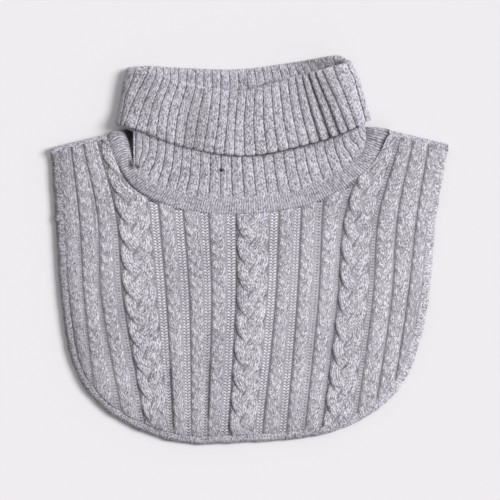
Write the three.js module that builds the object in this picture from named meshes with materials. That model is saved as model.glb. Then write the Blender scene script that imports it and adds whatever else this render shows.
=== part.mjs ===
// A knitted neck warmer lying flat: a folded rib collar on a front and a back bib.
// Millimetres, +X to the wearer's left, +Y up the collar, +Z off the table, which is z = 0.
import * as THREE from "three";

// Driving sizes of the knit
const KNIT = 2.8; // thickness of one layer of ribbed knit
const JERSEY = 2.4; // thickness of the bib between its ribs
const GAP = 0.5; // clear space between neighbouring pieces
const RESTING = 0; // the table

// Driving sizes of the collar
const RIBS = 56; // ribs round the collar
const RIB_RELIEF = 0.9; // how far a rib stands out of its grooves
const GROOVE_SHARE = 0.2; // part of a rib's pitch from its groove to its crest
const LENS_ROUNDNESS = 0.6; // how blunt the two flattened sides are
const FOLD_RADIUS = KNIT + GAP / 2; // of the fold at the collar's mouth

// Driving sizes of the neck band, the edges and the shoulders
const BAND_WIDTH = 13;
const BAND_CROWN = 1.1; // how far the band's middle stands over its edges
const EDGE_WIDTH = 7;
const SHOULDER = { left: 104, right: 107, slope: 0.235, from: 126, depth: 5 };
const NECK_CLEARANCE = 2.2; // between the bibs and the neck band
const EDGE_END = 1.6; // how far an edge strip stops short of the shoulder

// Driving sizes of the bibs
const RIB_HEIGHT = 1.5;
const CABLE_HEIGHT = 2.7;
const GUTTER_HEIGHT = 0.2;
const WIDEST_GUTTERED = 0.9; // columns that fill more of their pitch than this have no gutter
const CABLE_DIP = 1.3; // depth of the notches where a cable's strands cross
const CABLE_ROWS = 3; // rows of the front bib in one turn of a cable
const FRONT_ROWS = 28;
const BACK_ROWS = 14;
const BACK_COLUMNS = 20;
const BACK_INSET = 1.5; // how far the back bib stays inside the front one

// How high up the object each line of the collar lies, going round the neck.
// Angle 0 is the right side, 90 the front, 180 the left side and 270 the back.
const NECK = [
  { angle: 0, seam: 104, hem: 120, fold: 167 },
  { angle: 30, seam: 78, hem: 106.5, fold: 166 },
  { angle: 60, seam: 54, hem: 93.5, fold: 155 },
  { angle: 90, seam: 44.6, hem: 84, fold: 141.8 },
  { angle: 120, seam: 48, hem: 92.3, fold: 149.5 },
  { angle: 150, seam: 65, hem: 107, fold: 161 },
  { angle: 180, seam: 101, hem: 111.5, fold: 163.5 },
  { angle: 210, seam: 88, hem: 109, fold: 165 },
  { angle: 240, seam: 77, hem: 105, fold: 163 },
  { angle: 270, seam: 73, hem: 104, fold: 162 },
  { angle: 300, seam: 78, hem: 111, fold: 168 },
  { angle: 330, seam: 92, hem: 118, fold: 174 },
];

// The flattened hollow inside the collar's wall, from the neck seam (share 0) to the fold (share 1)
const WALL_LEVELS = [
  { share: 0, centre: -2, halfWidth: 110, low: 3.4, high: 12.6 },
  { share: 0.1, centre: -2.5, halfWidth: 103, low: 4.2, high: 13 },
  { share: 0.4, centre: -5, halfWidth: 100, low: 6.6, high: 14.4 },
  { share: 0.7, centre: -7.5, halfWidth: 97, low: 6.6, high: 15 },
  { share: 1, centre: -9, halfWidth: 97, low: 6.6, high: 15 },
];

// The same hollow as the turned-down cuff follows it, from the fold (share 0) to its hem (share 1)
const CUFF_LEVELS = [
  { share: 0, centre: -9, halfWidth: 97, low: 6.6, high: 15 },
  { share: 0.5, centre: -7.5, halfWidth: 102, low: 6.6, high: 15.2 },
  { share: 1, centre: -6, halfWidth: 108, low: 6.6, high: 15 },
];

// The lines between the front bib's stitch columns: x at four heights, and what stands right of each.
// The share is the part of the column that stands up, the rest is a purl gutter.
const COLUMN_HEIGHTS = { shoulder: 90, chest: 30, waist: -45, hem: -160 };
const FRONT_COLUMNS = [
  { shoulder: -171.5, chest: -167.5, waist: -162.3, hem: -145, stitch: "rib", share: 0.9 },
  { shoulder: -160, chest: -153, waist: -148.5, hem: -136, stitch: "rib", share: 0.95 },
  { shoulder: -148.5, chest: -136.4, waist: -133.2, hem: -112.5, stitch: "rib", share: 0.7 },
  { shoulder: -135, chest: -119.7, waist: -113.4, hem: -93.6, stitch: "cable", share: 0.79 },
  { shoulder: -86.4, chest: -81, waist: -74.7, hem: -68.4, stitch: "rib", share: 0.62 },
  { shoulder: -64.8, chest: -59.4, waist: -54, hem: -52.2, stitch: "rib", share: 0.65 },
  { shoulder: -40.5, chest: -36.9, waist: -34.2, hem: -37.8, stitch: "rib", share: 0.62 },
  { shoulder: -13.5, chest: -12.6, waist: -12.6, hem: -18.9, stitch: "cable", share: 0.78 },
  { shoulder: 29.7, chest: 26.1, waist: 23, hem: 11.7, stitch: "rib", share: 0.65 },
  { shoulder: 48.6, chest: 45.9, waist: 42.3, hem: 33.3, stitch: "rib", share: 0.7 },
  { shoulder: 69.3, chest: 64.8, waist: 61.2, hem: 49.5, stitch: "rib", share: 0.8 },
  { shoulder: 104.4, chest: 84.6, waist: 78.3, hem: 64.8, stitch: "cable", share: 0.86 },
  { shoulder: 132.3, chest: 115.2, waist: 109.8, hem: 94.5, stitch: "rib", share: 0.95 },
  { shoulder: 144.5, chest: 132.3, waist: 126.9, hem: 109.8, stitch: "rib", share: 0.95 },
  { shoulder: 159.8, chest: 149.9, waist: 141.3, hem: 124.2, stitch: "rib", share: 1 },
  { shoulder: 170.3, chest: 160, waist: 152.8, hem: 129.8 },
];

// The hem of the bibs, inside their edge strip
const HEM = [
  { x: -160, y: -70 },
  { x: -156, y: -88.5 },
  { x: -146.3, y: -114.3 },
  { x: -127, y: -137.4 },
  { x: -96, y: -155.8 },
  { x: -58, y: -166.8 },
  { x: -9, y: -166.3 },
  { x: 44, y: -162.4 },
  { x: 78.6, y: -154.6 },
  { x: 112.5, y: -136 },
  { x: 134.9, y: -110.2 },
  { x: 145.8, y: -79.7 },
  { x: 150, y: -62 },
];

// How high the front bib's underside hangs over the table, at its two sides and in the middle
const DRAPE = [
  { y: -175, left: 3.7, middle: 3.9, right: 3.7 },
  { y: -130, left: 4, middle: 6.4, right: 3.9 },
  { y: -80, left: 4.6, middle: 10.6, right: 4.2 },
  { y: -30, left: 5.2, middle: 13.2, right: 4.6 },
  { y: 40, left: 5.8, middle: 13.4, right: 5 },
  { y: 105, left: 6, middle: 13.6, right: 5.4 },
];

// Smooth values between the rows of a table, looked up by its first named column
function lookUp(rows, key, at) {
  const last = rows.length - 1;
  let i = 0;
  while (i < last - 1 && at > rows[i + 1][key]) i += 1;
  const [low, high] = [rows[i], rows[i + 1]];
  const span = high[key] - low[key];
  const t = (at - low[key]) / span;
  const slope = (k, column) => {
    const [before, after] = [rows[Math.max(k - 1, 0)], rows[Math.min(k + 1, last)]];
    return (after[column] - before[column]) / (after[key] - before[key]);
  };
  const found = {};
  for (const column of Object.keys(low)) {
    if (typeof low[column] !== "number") continue;
    const [m0, m1] = [slope(i, column) * span, slope(i + 1, column) * span];
    const rise = high[column] - low[column];
    found[column] = t < 0 || t > 1
      ? (t < 0 ? low[column] + m0 * t : high[column] + m1 * (t - 1))
      : low[column] + t * (m0 + t * (3 * rise - 2 * m0 - m1 + t * (m0 + m1 - 2 * rise)));
  }
  return found;
}

// The collar's lines at any angle round the neck, in radians
const NECK_ROUND = [-1, 0, 1].flatMap((turn) =>
  NECK.map((row) => ({ ...row, angle: row.angle + 360 * turn })),
);
const neckAt = (angle) => lookUp(NECK_ROUND, "angle", THREE.MathUtils.radToDeg(angle));

// A surface that is collected vertex by vertex and ends as one closed geometry
class Skin {
  points = [];
  faces = [];

  // Adds a closed loop of points, each with its place from 0 to 1 along the loop
  loop(points, places) {
    const first = this.points.length;
    this.points.push(...points);
    return points.map((_, k) => ({
      index: first + k,
      place: places ? places[k] : k / points.length,
    }));
  }

  // Joins two loops that run the same way, whatever their counts
  bridge(one, other) {
    let [i, j] = [0, 0];
    const placeOf = (loop, k) => (k < loop.length ? loop[k].place : 1);
    const indexOf = (loop, k) => loop[k % loop.length].index;
    while (i < one.length || j < other.length) {
      const oneNext = i < one.length ? placeOf(one, i + 1) : Infinity;
      const otherNext = j < other.length ? placeOf(other, j + 1) : Infinity;
      const [a, b] = [indexOf(one, i), indexOf(other, j)];
      if (oneNext <= otherNext) {
        this.faces.push([a, indexOf(one, i + 1), b]);
        i += 1;
      } else {
        this.faces.push([a, indexOf(other, j + 1), b]);
        j += 1;
      }
    }
  }

  // Closes the end of a tube with triangles from the loop's first point
  cap(loop, turned) {
    for (let k = 1; k < loop.length - 1; k += 1) {
      const face = [loop[0].index, loop[k].index, loop[k + 1].index];
      this.faces.push(turned ? face.reverse() : face);
    }
  }

  // Joins the loops one after another, and the last to the first or with a cap at each end
  loft(loops, closed) {
    loops.slice(1).forEach((loop, k) => this.bridge(loops[k], loop));
    if (closed) {
      this.bridge(loops.at(-1), loops[0]);
    } else {
      this.cap(loops[0], true);
      this.cap(loops.at(-1), false);
    }
  }

  // The finished geometry, with its faces turned outwards
  geometry() {
    const corner = (index) => this.points[index];
    const volume = this.faces.reduce(
      (sum, [a, b, c]) => sum + corner(a).dot(corner(b).clone().cross(corner(c))),
      0,
    );
    const faces = volume < 0 ? this.faces.map(([a, b, c]) => [a, c, b]) : this.faces;
    const geometry = new THREE.BufferGeometry().setFromPoints(this.points);
    geometry.setIndex(faces.flat());
    geometry.computeVertexNormals();
    return geometry;
  }
}

// A lens is the flattened hollow's cross-section: its point and outward normal at an angle
function lensPoint(angle, lens) {
  const [cos, sin] = [Math.cos(angle), Math.sin(angle)];
  const steep = Math.max(Math.abs(sin), 1e-3);
  const halfHeight = (lens.high - lens.low) / 2;
  const normal = new THREE.Vector2(
    halfHeight * LENS_ROUNDNESS * steep ** (LENS_ROUNDNESS - 1) * cos,
    lens.halfWidth * sin,
  ).normalize();
  return {
    x: lens.centre + lens.halfWidth * cos,
    z: (lens.low + lens.high) / 2 + halfHeight * Math.sign(sin) * Math.abs(sin) ** LENS_ROUNDNESS,
    normal,
  };
}

// A point of the collar: outside the lens by the offset, and never below the table
function collarPoint(angle, lens, y, offset) {
  const { x, z, normal } = lensPoint(angle, lens);
  return new THREE.Vector3(
    x + normal.x * offset,
    y,
    Math.max(z + normal.y * offset, RESTING),
  );
}

// Angles that lie evenly along the flattened wall, from a table of its length
const LENGTH_STEPS = 1440;
const WALL_LENGTH = (() => {
  const rows = [{ length: 0, angle: 0 }];
  const middle = WALL_LEVELS[3];
  let before = collarPoint(0, middle, 0, KNIT);
  for (let k = 1; k <= LENGTH_STEPS; k += 1) {
    const angle = (2 * Math.PI * k) / LENGTH_STEPS;
    const here = collarPoint(angle, middle, 0, KNIT);
    rows.push({ length: rows.at(-1).length + here.distanceTo(before), angle });
    before = here;
  }
  return rows;
})();

function angleAt(share) {
  const wanted = share * WALL_LENGTH.at(-1).length;
  let low = 0;
  let high = WALL_LENGTH.length - 1;
  while (high - low > 1) {
    const middle = (low + high) >> 1;
    if (WALL_LENGTH[middle].length > wanted) high = middle;
    else low = middle;
  }
  const [a, b] = [WALL_LENGTH[low], WALL_LENGTH[high]];
  return a.angle + ((b.angle - a.angle) * (wanted - a.length)) / (b.length - a.length);
}

// The places round the neck of the rib lines: a groove and the two sides of each crest
const RIB_LINES = Array.from({ length: RIBS }, (_, rib) => [
  { share: rib / RIBS, crest: 0 },
  { share: (rib + GROOVE_SHARE) / RIBS, crest: 1 },
  { share: (rib + 1 - GROOVE_SHARE) / RIBS, crest: 1 },
]).flat();
const PLAIN_LINES = Array.from({ length: RIBS }, (_, rib) => ({ share: rib / RIBS, crest: 0 }));

// The rings of the collar's hairpin section: up inside the wall, over the fold, down the cuff,
// back up under the cuff and down outside the wall. The relief is the part of a rib's height shown,
// negative where the ribs stand out into the hollow.
const INSIDE_RELIEF = -0.55;
const CUFF_INSIDE = KNIT + GAP;
const CUFF_OUTSIDE = CUFF_INSIDE + KNIT;
const COLLAR_RINGS = [
  { along: "wall", share: 0, offset: 0 },
  { along: "wall", share: 0.5, offset: 0 },
  { along: "wall", share: 0.62, offset: 0, relief: INSIDE_RELIEF },
  { along: "wall", share: 1, offset: 0, relief: INSIDE_RELIEF },
  { along: "fold", share: 1 / 3, relief: 0.5 },
  { along: "fold", share: 2 / 3, relief: 0.5 },
  { along: "cuff", share: 0, offset: CUFF_OUTSIDE, relief: 1 },
  { along: "cuff", share: 0.35, offset: CUFF_OUTSIDE, relief: 1 },
  { along: "cuff", share: 0.7, offset: CUFF_OUTSIDE, relief: 1 },
  { along: "cuff", share: 0.97, offset: CUFF_OUTSIDE, relief: 1 },
  { along: "cuff", share: 1, offset: CUFF_OUTSIDE - KNIT / 3, relief: 0.5 },
  { along: "cuff", share: 0.98, offset: CUFF_INSIDE },
  { along: "cuff", share: 0.5, offset: CUFF_INSIDE },
  { along: "cuff", share: 0, offset: CUFF_INSIDE },
  { along: "wall", share: 1, offset: KNIT },
  { along: "wall", share: 0.62, offset: KNIT },
  { along: "wall", share: 0.5, offset: KNIT, relief: 0.4 },
  { along: "wall", share: 0.25, offset: KNIT, relief: 0.8 },
  { along: "wall", share: 0.03, offset: KNIT, relief: 0.8 },
];

// A point of a ring at an angle round the neck, for a rib that stands out by a height
const RING_POINTS = {
  wall: ({ share, offset }, angle, neck, rib) => {
    const y = THREE.MathUtils.lerp(neck.seam, neck.fold - FOLD_RADIUS, share);
    return collarPoint(angle, lookUp(WALL_LEVELS, "share", share), y, offset + rib);
  },
  fold: ({ share }, angle, neck, rib) => {
    const radius = FOLD_RADIUS + rib;
    const offset = CUFF_OUTSIDE / 2 - radius * Math.cos(Math.PI * share);
    const y = neck.fold - FOLD_RADIUS + radius * Math.sin(Math.PI * share);
    return collarPoint(angle, CUFF_LEVELS[0], y, offset);
  },
  cuff: ({ share, offset }, angle, neck, rib) => {
    const y = THREE.MathUtils.lerp(neck.fold - FOLD_RADIUS, neck.hem, share);
    return collarPoint(angle, lookUp(CUFF_LEVELS, "share", share), y, offset + rib);
  },
};

function collarGeometry() {
  const skin = new Skin();
  const loops = COLLAR_RINGS.map((ring) => {
    const lines = ring.relief ? RIB_LINES : PLAIN_LINES;
    const points = lines.map(({ share, crest }) => {
      const angle = angleAt(share);
      const rib = crest * RIB_RELIEF * (ring.relief ?? 0);
      return RING_POINTS[ring.along](ring, angle, neckAt(angle), rib);
    });
    return skin.loop(points, lines.map(({ share }) => share));
  });
  skin.loft(loops, true);
  return skin.geometry();
}

// The neck band follows the neck seam: it lies flat at the front and back, and turns over each shoulder.
// The across direction leads away from the neck and the up direction out of the band's face.
const BAND_STATIONS = 72;
const BAND_START = 0.7; // from the collar's edge to the band
const BAND_FANNING = 0.75; // how far the band leans sideways as it nears the shoulders
const BAND_SECTION = [
  { across: 0, up: 0.3 },
  { across: 0, up: KNIT },
  { across: BAND_WIDTH / 2, up: KNIT + BAND_CROWN },
  { across: BAND_WIDTH, up: KNIT - 0.2 },
  { across: BAND_WIDTH, up: 0.3 },
];

function bandFrame(angle) {
  const { x, z, normal } = lensPoint(angle, WALL_LEVELS[0]);
  return {
    corner: new THREE.Vector3(x, neckAt(angle).seam, z),
    across: new THREE.Vector3(BAND_FANNING * Math.cos(angle), -Math.abs(Math.sin(angle)), 0).normalize(),
    up: new THREE.Vector3(0, Math.abs(normal.x), normal.y),
    clearance: BAND_START + (KNIT + RIB_RELIEF) * Math.abs(normal.x),
  };
}

function bandPoint(angle, across, up) {
  const frame = bandFrame(angle);
  const point = frame.corner.clone();
  point.addScaledVector(frame.across, frame.clearance + across);
  point.addScaledVector(frame.up, up);
  point.z = Math.max(point.z, RESTING);
  return point;
}

const bandAngles = Array.from({ length: BAND_STATIONS }, (_, k) => angleAt(k / BAND_STATIONS));

function neckBandGeometry() {
  const skin = new Skin();
  const loops = bandAngles.map((angle) =>
    skin.loop(BAND_SECTION.map(({ across, up }) => bandPoint(angle, across, up))),
  );
  skin.loft(loops, true);
  return skin.geometry();
}

// The outline that the bibs keep clear of, seen from above, for the front or the back of the neck
function neckOutline(isFront) {
  const angles = bandAngles.filter((angle) => Math.sin(angle) >= 0 === isFront);
  const edge = angles.map((angle) => bandPoint(angle, BAND_WIDTH + NECK_CLEARANCE, 0));
  const above = SHOULDER.right + BAND_WIDTH;
  const [first, last] = [edge[0], edge.at(-1)];
  return [new THREE.Vector2(first.x, above), ...edge, new THREE.Vector2(last.x, above)];
}

function isInside(outline, x, y) {
  let inside = false;
  outline.forEach((a, k) => {
    const b = outline[(k + 1) % outline.length];
    const crosses = a.y > y !== b.y > y && x < a.x + ((b.x - a.x) * (y - a.y)) / (b.y - a.y);
    if (crosses) inside = !inside;
  });
  return inside;
}

const shoulderAt = (x) =>
  (x < 0 ? SHOULDER.left : SHOULDER.right) - SHOULDER.slope * (Math.abs(x) - SHOULDER.from);

// Follows a column's line up or down to the last height where it is in the bib
const MARCH_STEPS = 300;
const BELOW_HEM = -180;
function lastHeight(xAt, from, to, isBib) {
  let inside = from;
  for (let k = 1; k <= MARCH_STEPS; k += 1) {
    const y = from + ((to - from) * k) / MARCH_STEPS;
    if (!isBib(xAt(y), y)) break;
    inside = y;
  }
  return inside;
}

// A bib's grid: points down each column's line, from the neck or shoulder to the hem
function bibGrid(columns, rows, inset, isFront) {
  const neck = neckOutline(isFront);
  const isBib = (x, y) =>
    y < shoulderAt(x) - SHOULDER.depth - GAP &&
    y > lookUp(HEM, "x", x).y + inset &&
    !isInside(neck, x, y);
  return columns.map((column) => {
    const { waist } = COLUMN_HEIGHTS;
    const top = lastHeight(column.xAt, waist, SHOULDER.right, isBib);
    const bottom = lastHeight(column.xAt, waist, BELOW_HEM, isBib);
    return Array.from({ length: rows }, (_, row) => {
      const y = top + ((bottom - top) * row) / (rows - 1);
      return { x: column.xAt(y), y, row, column };
    });
  });
}

// The grid's border, from its top left corner down, along the hem and back along the top
function gridBorder(width, height) {
  const left = Array.from({ length: height }, (_, row) => [0, row]);
  const hem = Array.from({ length: width - 2 }, (_, k) => [k + 1, height - 1]);
  const right = Array.from({ length: height }, (_, row) => [width - 1, height - 1 - row]);
  const top = Array.from({ length: width - 2 }, (_, k) => [width - 2 - k, 0]);
  return [...left, ...hem, ...right, ...top];
}

// A bib: a fine face above, a coarser one below on some of the same lines, and a wall round them.
// The steps say how many columns and rows of the fine face the coarse one passes over.
const FRONT_STEPS = { columns: 3, rows: 5 };
const BACK_STEPS = { columns: 3, rows: 3 };

function bibGeometry(grid, topZ, underZ, steps) {
  const skin = new Skin();
  const keep = (count, step) =>
    Array.from({ length: count }, (_, k) => k).filter(
      (k) => k === count - 1 || (k % step === 0 && k < count - step / 2),
    );
  const face = (columns, rows, zAt) => {
    const first = skin.points.length;
    for (const i of columns) {
      for (const j of rows) {
        const cell = grid[i][j];
        skin.points.push(new THREE.Vector3(cell.x, cell.y, zAt(cell)));
      }
    }
    return (i, j) => first + i * rows.length + j;
  };
  const all = [keep(grid.length, 1), keep(grid[0].length, 1)];
  const some = [keep(grid.length, steps.columns), keep(grid[0].length, steps.rows)];
  const [above, below] = [face(...all, topZ), face(...some, underZ)];
  const cover = ([columns, rows], indexOf, turned) => {
    for (let i = 0; i < columns.length - 1; i += 1) {
      for (let j = 0; j < rows.length - 1; j += 1) {
        const [a, b, c, d] = [indexOf(i, j), indexOf(i, j + 1), indexOf(i + 1, j + 1), indexOf(i + 1, j)];
        skin.faces.push(...(turned ? [[a, c, b], [a, d, c]] : [[a, b, c], [a, c, d]]));
      }
    }
  };
  cover(all, above, false);
  cover(some, below, true);
  const fullBorder = gridBorder(grid.length, grid[0].length);
  const placeOf = new Map(fullBorder.map(([i, j], k) => [`${i},${j}`, k / fullBorder.length]));
  const border = ([columns, rows], indexOf) =>
    gridBorder(columns.length, rows.length).map(([i, j]) => ({
      index: indexOf(i, j),
      place: placeOf.get(`${columns[i]},${rows[j]}`),
    }));
  skin.bridge(border(some, below), border(all, above));
  return skin.geometry();
}

// The front bib's underside: highest along its middle, and low and level at its sides
const DRAPE_SHAPE = 0.8;
function frontUnder(x, y) {
  const { left, middle, right } = lookUp(DRAPE, "y", y);
  const [first, last] = [FRONT_COLUMNS[0], FRONT_COLUMNS.at(-1)];
  const across = (2 * x - first.chest - last.chest) / (last.chest - first.chest);
  const edge = across < 0 ? left : right;
  const lift = Math.max(1 - across * across, 0) ** DRAPE_SHAPE;
  return edge + (middle - edge) * lift;
}

// The lines of each kind of stitch column, and how high the knit stands there.
// A cable's turn is how much later than its left side that line of its strands comes up.
const STITCHES = {
  rib: [
    { share: 0, height: 0 },
    { share: 0.2, height: RIB_HEIGHT },
    { share: 0.8, height: RIB_HEIGHT },
  ],
  cable: [
    { share: 0, height: 0 },
    { share: 0.12, height: CABLE_HEIGHT * 0.8, turn: 0 },
    { share: 0.36, height: CABLE_HEIGHT, turn: 0.3 },
    { share: 0.64, height: CABLE_HEIGHT, turn: 0.6 },
    { share: 0.88, height: CABLE_HEIGHT * 0.8, turn: 0.9 },
  ],
};

// The x of a column's line at a height, from its row of the table
function columnLine(row, y) {
  const heights = Object.entries(COLUMN_HEIGHTS).map(([name, height]) => ({ height, x: row[name] }));
  return lookUp(heights.reverse(), "height", y).x;
}

function frontColumns() {
  const columns = [];
  FRONT_COLUMNS.slice(0, -1).forEach((row, k) => {
    const next = FRONT_COLUMNS[k + 1];
    const lines = STITCHES[row.stitch].map((line) => ({ ...line, share: line.share * row.share }));
    if (row.share < WIDEST_GUTTERED) lines.push({ share: row.share, height: GUTTER_HEIGHT });
    for (const { share, height, turn } of lines) {
      const xAt = (y) => THREE.MathUtils.lerp(columnLine(row, y), columnLine(next, y), share);
      columns.push({ xAt, height, turn });
    }
  });
  columns.push({ xAt: (y) => columnLine(FRONT_COLUMNS.at(-1), y), height: 0 });
  return columns;
}

function backColumns() {
  const [first, last] = [FRONT_COLUMNS[0], FRONT_COLUMNS.at(-1)];
  return Array.from({ length: BACK_COLUMNS }, (_, k) => {
    const share = k / (BACK_COLUMNS - 1);
    const xAt = (y) =>
      THREE.MathUtils.lerp(columnLine(first, y) + BACK_INSET, columnLine(last, y) - BACK_INSET, share);
    return { xAt, height: 0 };
  });
}

// The front bib's two faces: the upper one adds its knit, its columns and the cables' crossings
const frontBottom = ({ x, y }) => frontUnder(x, y);
const frontTop = ({ x, y, row, column }) => {
  const isCable = column.turn !== undefined;
  const phase = isCable ? row / CABLE_ROWS - column.turn : 0;
  const dip = isCable ? (CABLE_DIP * (1 + Math.cos(2 * Math.PI * phase))) / 2 : 0;
  return frontUnder(x, y) + JERSEY + column.height - dip;
};

// An edge strip runs outside a bib's grid, down one side, along the hem and up the other side.
// Its section's points are out from the bib, and up by a part of the strip's thickness.
const EDGE_SECTION = [
  { out: GAP, up: 0.15 },
  { out: GAP, up: 1 },
  { out: GAP + EDGE_WIDTH * 0.45, up: 1.12 },
  { out: GAP + EDGE_WIDTH, up: 0.75 },
  { out: GAP + EDGE_WIDTH, up: 0.2 },
];
const EDGE_DROOP = 0.4; // how far the front strip's outer side hangs lower

function edgeGeometry(grid, underAt, droop) {
  const skin = new Skin();
  const [width, height] = [grid.length, grid[0].length];
  const path = gridBorder(width, height).slice(0, 2 * height + width - 2);
  const cells = path.map(([i, j]) => grid[i][j]);
  const loops = cells.map((cell, k) => {
    const [before, after] = [cells[Math.max(k - 1, 0)], cells[Math.min(k + 1, cells.length - 1)]];
    const outwards = new THREE.Vector2(after.y - before.y, before.x - after.x).normalize();
    const under = underAt(cell.x, cell.y);
    const isEnd = k === 0 || k === cells.length - 1;
    const y = cell.y - (isEnd ? EDGE_END : 0);
    return skin.loop(
      EDGE_SECTION.map(({ out, up }) => new THREE.Vector3(
        cell.x + outwards.x * out,
        y + outwards.y * out,
        Math.max(under - (droop * out) / EDGE_WIDTH, RESTING) + KNIT * up,
      )),
    );
  });
  skin.loft(loops, false);
  return skin.geometry();
}

// A shoulder seam: the fold of knit that links the front and the back bib along one shoulder.
// Its section's points are back from its outer edge and up by a part of its height.
const SEAM_STATIONS = 8;
const SEAM_SECTION = [
  { back: SHOULDER.depth, up: 0 },
  { back: SHOULDER.depth, up: 1 },
  { back: SHOULDER.depth * 0.45, up: 1 },
  { back: SHOULDER.depth * 0.1, up: 0.75 },
  { back: 0, up: 0.45 },
  { back: SHOULDER.depth * 0.1, up: 0.15 },
  { back: SHOULDER.depth * 0.45, up: 0 },
];

function shoulderSeamGeometry(side) {
  const skin = new Skin();
  const inner = Math.abs(bandPoint(side < 0 ? Math.PI : 0, BAND_WIDTH, 0).x) + NECK_CLEARANCE;
  const outer = Math.abs(FRONT_COLUMNS[0].shoulder) + EDGE_WIDTH - GAP;
  const loops = Array.from({ length: SEAM_STATIONS }, (_, k) => {
    const x = side * (inner + ((outer - inner) * k) / (SEAM_STATIONS - 1));
    const y = shoulderAt(x);
    const top = frontUnder(x, y) + JERSEY + RIB_HEIGHT / 2;
    return skin.loop(SEAM_SECTION.map(({ back, up }) => new THREE.Vector3(x, y - back, top * up)));
  });
  skin.loft(loops, false);
  return skin.geometry();
}

// Materials
const knitMaterial = (color, roughness) =>
  new THREE.MeshStandardMaterial({ color, roughness, metalness: 0 });
const RIB_KNIT = knitMaterial(0xb4b3b9, 0.95);
const CABLE_KNIT = knitMaterial(0xb0afb5, 0.95);
const BACK_KNIT = knitMaterial(0xacabb1, 0.95);
const JERSEY_KNIT = knitMaterial(0xb8b7bd, 0.92);

function piece(name, geometry, material) {
  const mesh = new THREE.Mesh(geometry, material);
  mesh.name = name;
  return mesh;
}

// The whole garment
const frontGrid = bibGrid(frontColumns(), FRONT_ROWS, 0, true);
const backGrid = bibGrid(backColumns(), BACK_ROWS, BACK_INSET, false);

const warmer = new THREE.Group();
warmer.add(
  piece("front_bib", bibGeometry(frontGrid, frontTop, frontBottom, FRONT_STEPS), CABLE_KNIT),
  piece("back_bib", bibGeometry(backGrid, () => KNIT, () => RESTING, BACK_STEPS), BACK_KNIT),
  piece("collar", collarGeometry(), RIB_KNIT),
  piece("neck_band", neckBandGeometry(), JERSEY_KNIT),
  piece("front_edge", edgeGeometry(frontGrid, frontUnder, EDGE_DROOP), JERSEY_KNIT),
  piece("back_edge", edgeGeometry(backGrid, () => RESTING, 0), JERSEY_KNIT),
  piece("shoulder_seam_left", shoulderSeamGeometry(-1), JERSEY_KNIT),
  piece("shoulder_seam_right", shoulderSeamGeometry(1), JERSEY_KNIT),
);

export default warmer;
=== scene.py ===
"""Looks of a knitted neck warmer that lies flat: a folded rib collar on a cable-knit front and a back bib.

Each sub-assembly below is a class that lays out a grid in stitches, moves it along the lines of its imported
solid and gives it the relief of its ribs, plaits and purl gutters. Those lines and sizes are the solids',
apart from a few that follow the real knit more closely: how wide the columns stand up, how many ribs the
collar has, how far its left end has sunk, and its fold and hem near the right side.

Lengths and places are in millimetres until a mesh gets its points, which are in metres. +X is across the
shoulders, +Y up the collar and +Z off the table.
"""

import logging
import math
from dataclasses import dataclass, field
from enum import Enum
from typing import Callable, NamedTuple, Sequence

import bmesh
import bpy
import numpy as np
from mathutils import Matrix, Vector

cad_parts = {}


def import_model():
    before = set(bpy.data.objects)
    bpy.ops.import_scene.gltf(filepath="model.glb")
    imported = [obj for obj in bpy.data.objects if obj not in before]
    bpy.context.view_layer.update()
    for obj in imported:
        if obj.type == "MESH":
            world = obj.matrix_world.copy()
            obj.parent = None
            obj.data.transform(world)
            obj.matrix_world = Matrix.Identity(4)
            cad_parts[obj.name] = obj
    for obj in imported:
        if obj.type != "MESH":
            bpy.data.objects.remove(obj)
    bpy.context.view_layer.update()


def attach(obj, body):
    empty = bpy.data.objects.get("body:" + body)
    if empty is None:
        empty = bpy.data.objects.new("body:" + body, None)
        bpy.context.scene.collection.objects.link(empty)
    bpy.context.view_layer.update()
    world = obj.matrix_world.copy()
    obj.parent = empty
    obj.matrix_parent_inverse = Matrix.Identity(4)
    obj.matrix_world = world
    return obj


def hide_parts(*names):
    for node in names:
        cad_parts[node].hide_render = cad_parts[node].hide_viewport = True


LOG = logging.getLogger("neck_warmer")
MM = 0.001
TURN = 2 * math.pi
Field = np.ndarray | float  # numbers on a grid, or one number for all of it
LineAt = Callable[[np.ndarray], np.ndarray]  # gives a line's x at some heights

MERGE_DISTANCE = 1e-6  # metres

# Driving sizes of the knit, as the solids have them
KNIT = 2.8  # thickness of one layer of ribbed knit
JERSEY = 2.4  # thickness of the bib between its ribs
GAP = 0.5  # clear space between neighbouring pieces
RESTING = 0.0  # the table

# Sizes and counts of the stitches
COURSE = 2.65  # height of one row of stitches
WALE = 3.1  # width of one plain knit stitch
PURL_WALE = 4.3  # width of one purl stitch in a gutter
ROWS_FROM = 100  # the height on the bibs from which rows of stitches are counted down

CRISP_BORDER = (0.6, 1.2)  # where a crisp spot's border starts and ends, in reaches from its middle


class Spot(NamedTuple):
    """A soft patch of the knit: its middle, its reaches and how strong it is there."""

    x: float
    y: float
    half_width: float
    half_height: float
    strength: float

    def at(self, x: np.ndarray, y: np.ndarray) -> np.ndarray:
        """The patch's strength at some places, which fades outwards.

        Args:
            x: the places across.
            y: the places up.

        Returns:
            The strength at each place.
        """
        far = ((x - self.x) / self.half_width) ** 2 + ((y - self.y) / self.half_height) ** 2
        return self.strength * np.exp(-far)

    def crisp_at(self, x: np.ndarray, y: np.ndarray) -> np.ndarray:
        """The patch's strength at some places, with a crisp border.

        Args:
            x: the places across.
            y: the places up.

        Returns:
            The strength at each place.
        """
        far = np.hypot((x - self.x) / self.half_width, (y - self.y) / self.half_height)
        return self.strength * (1 - ease(far, *CRISP_BORDER))


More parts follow.
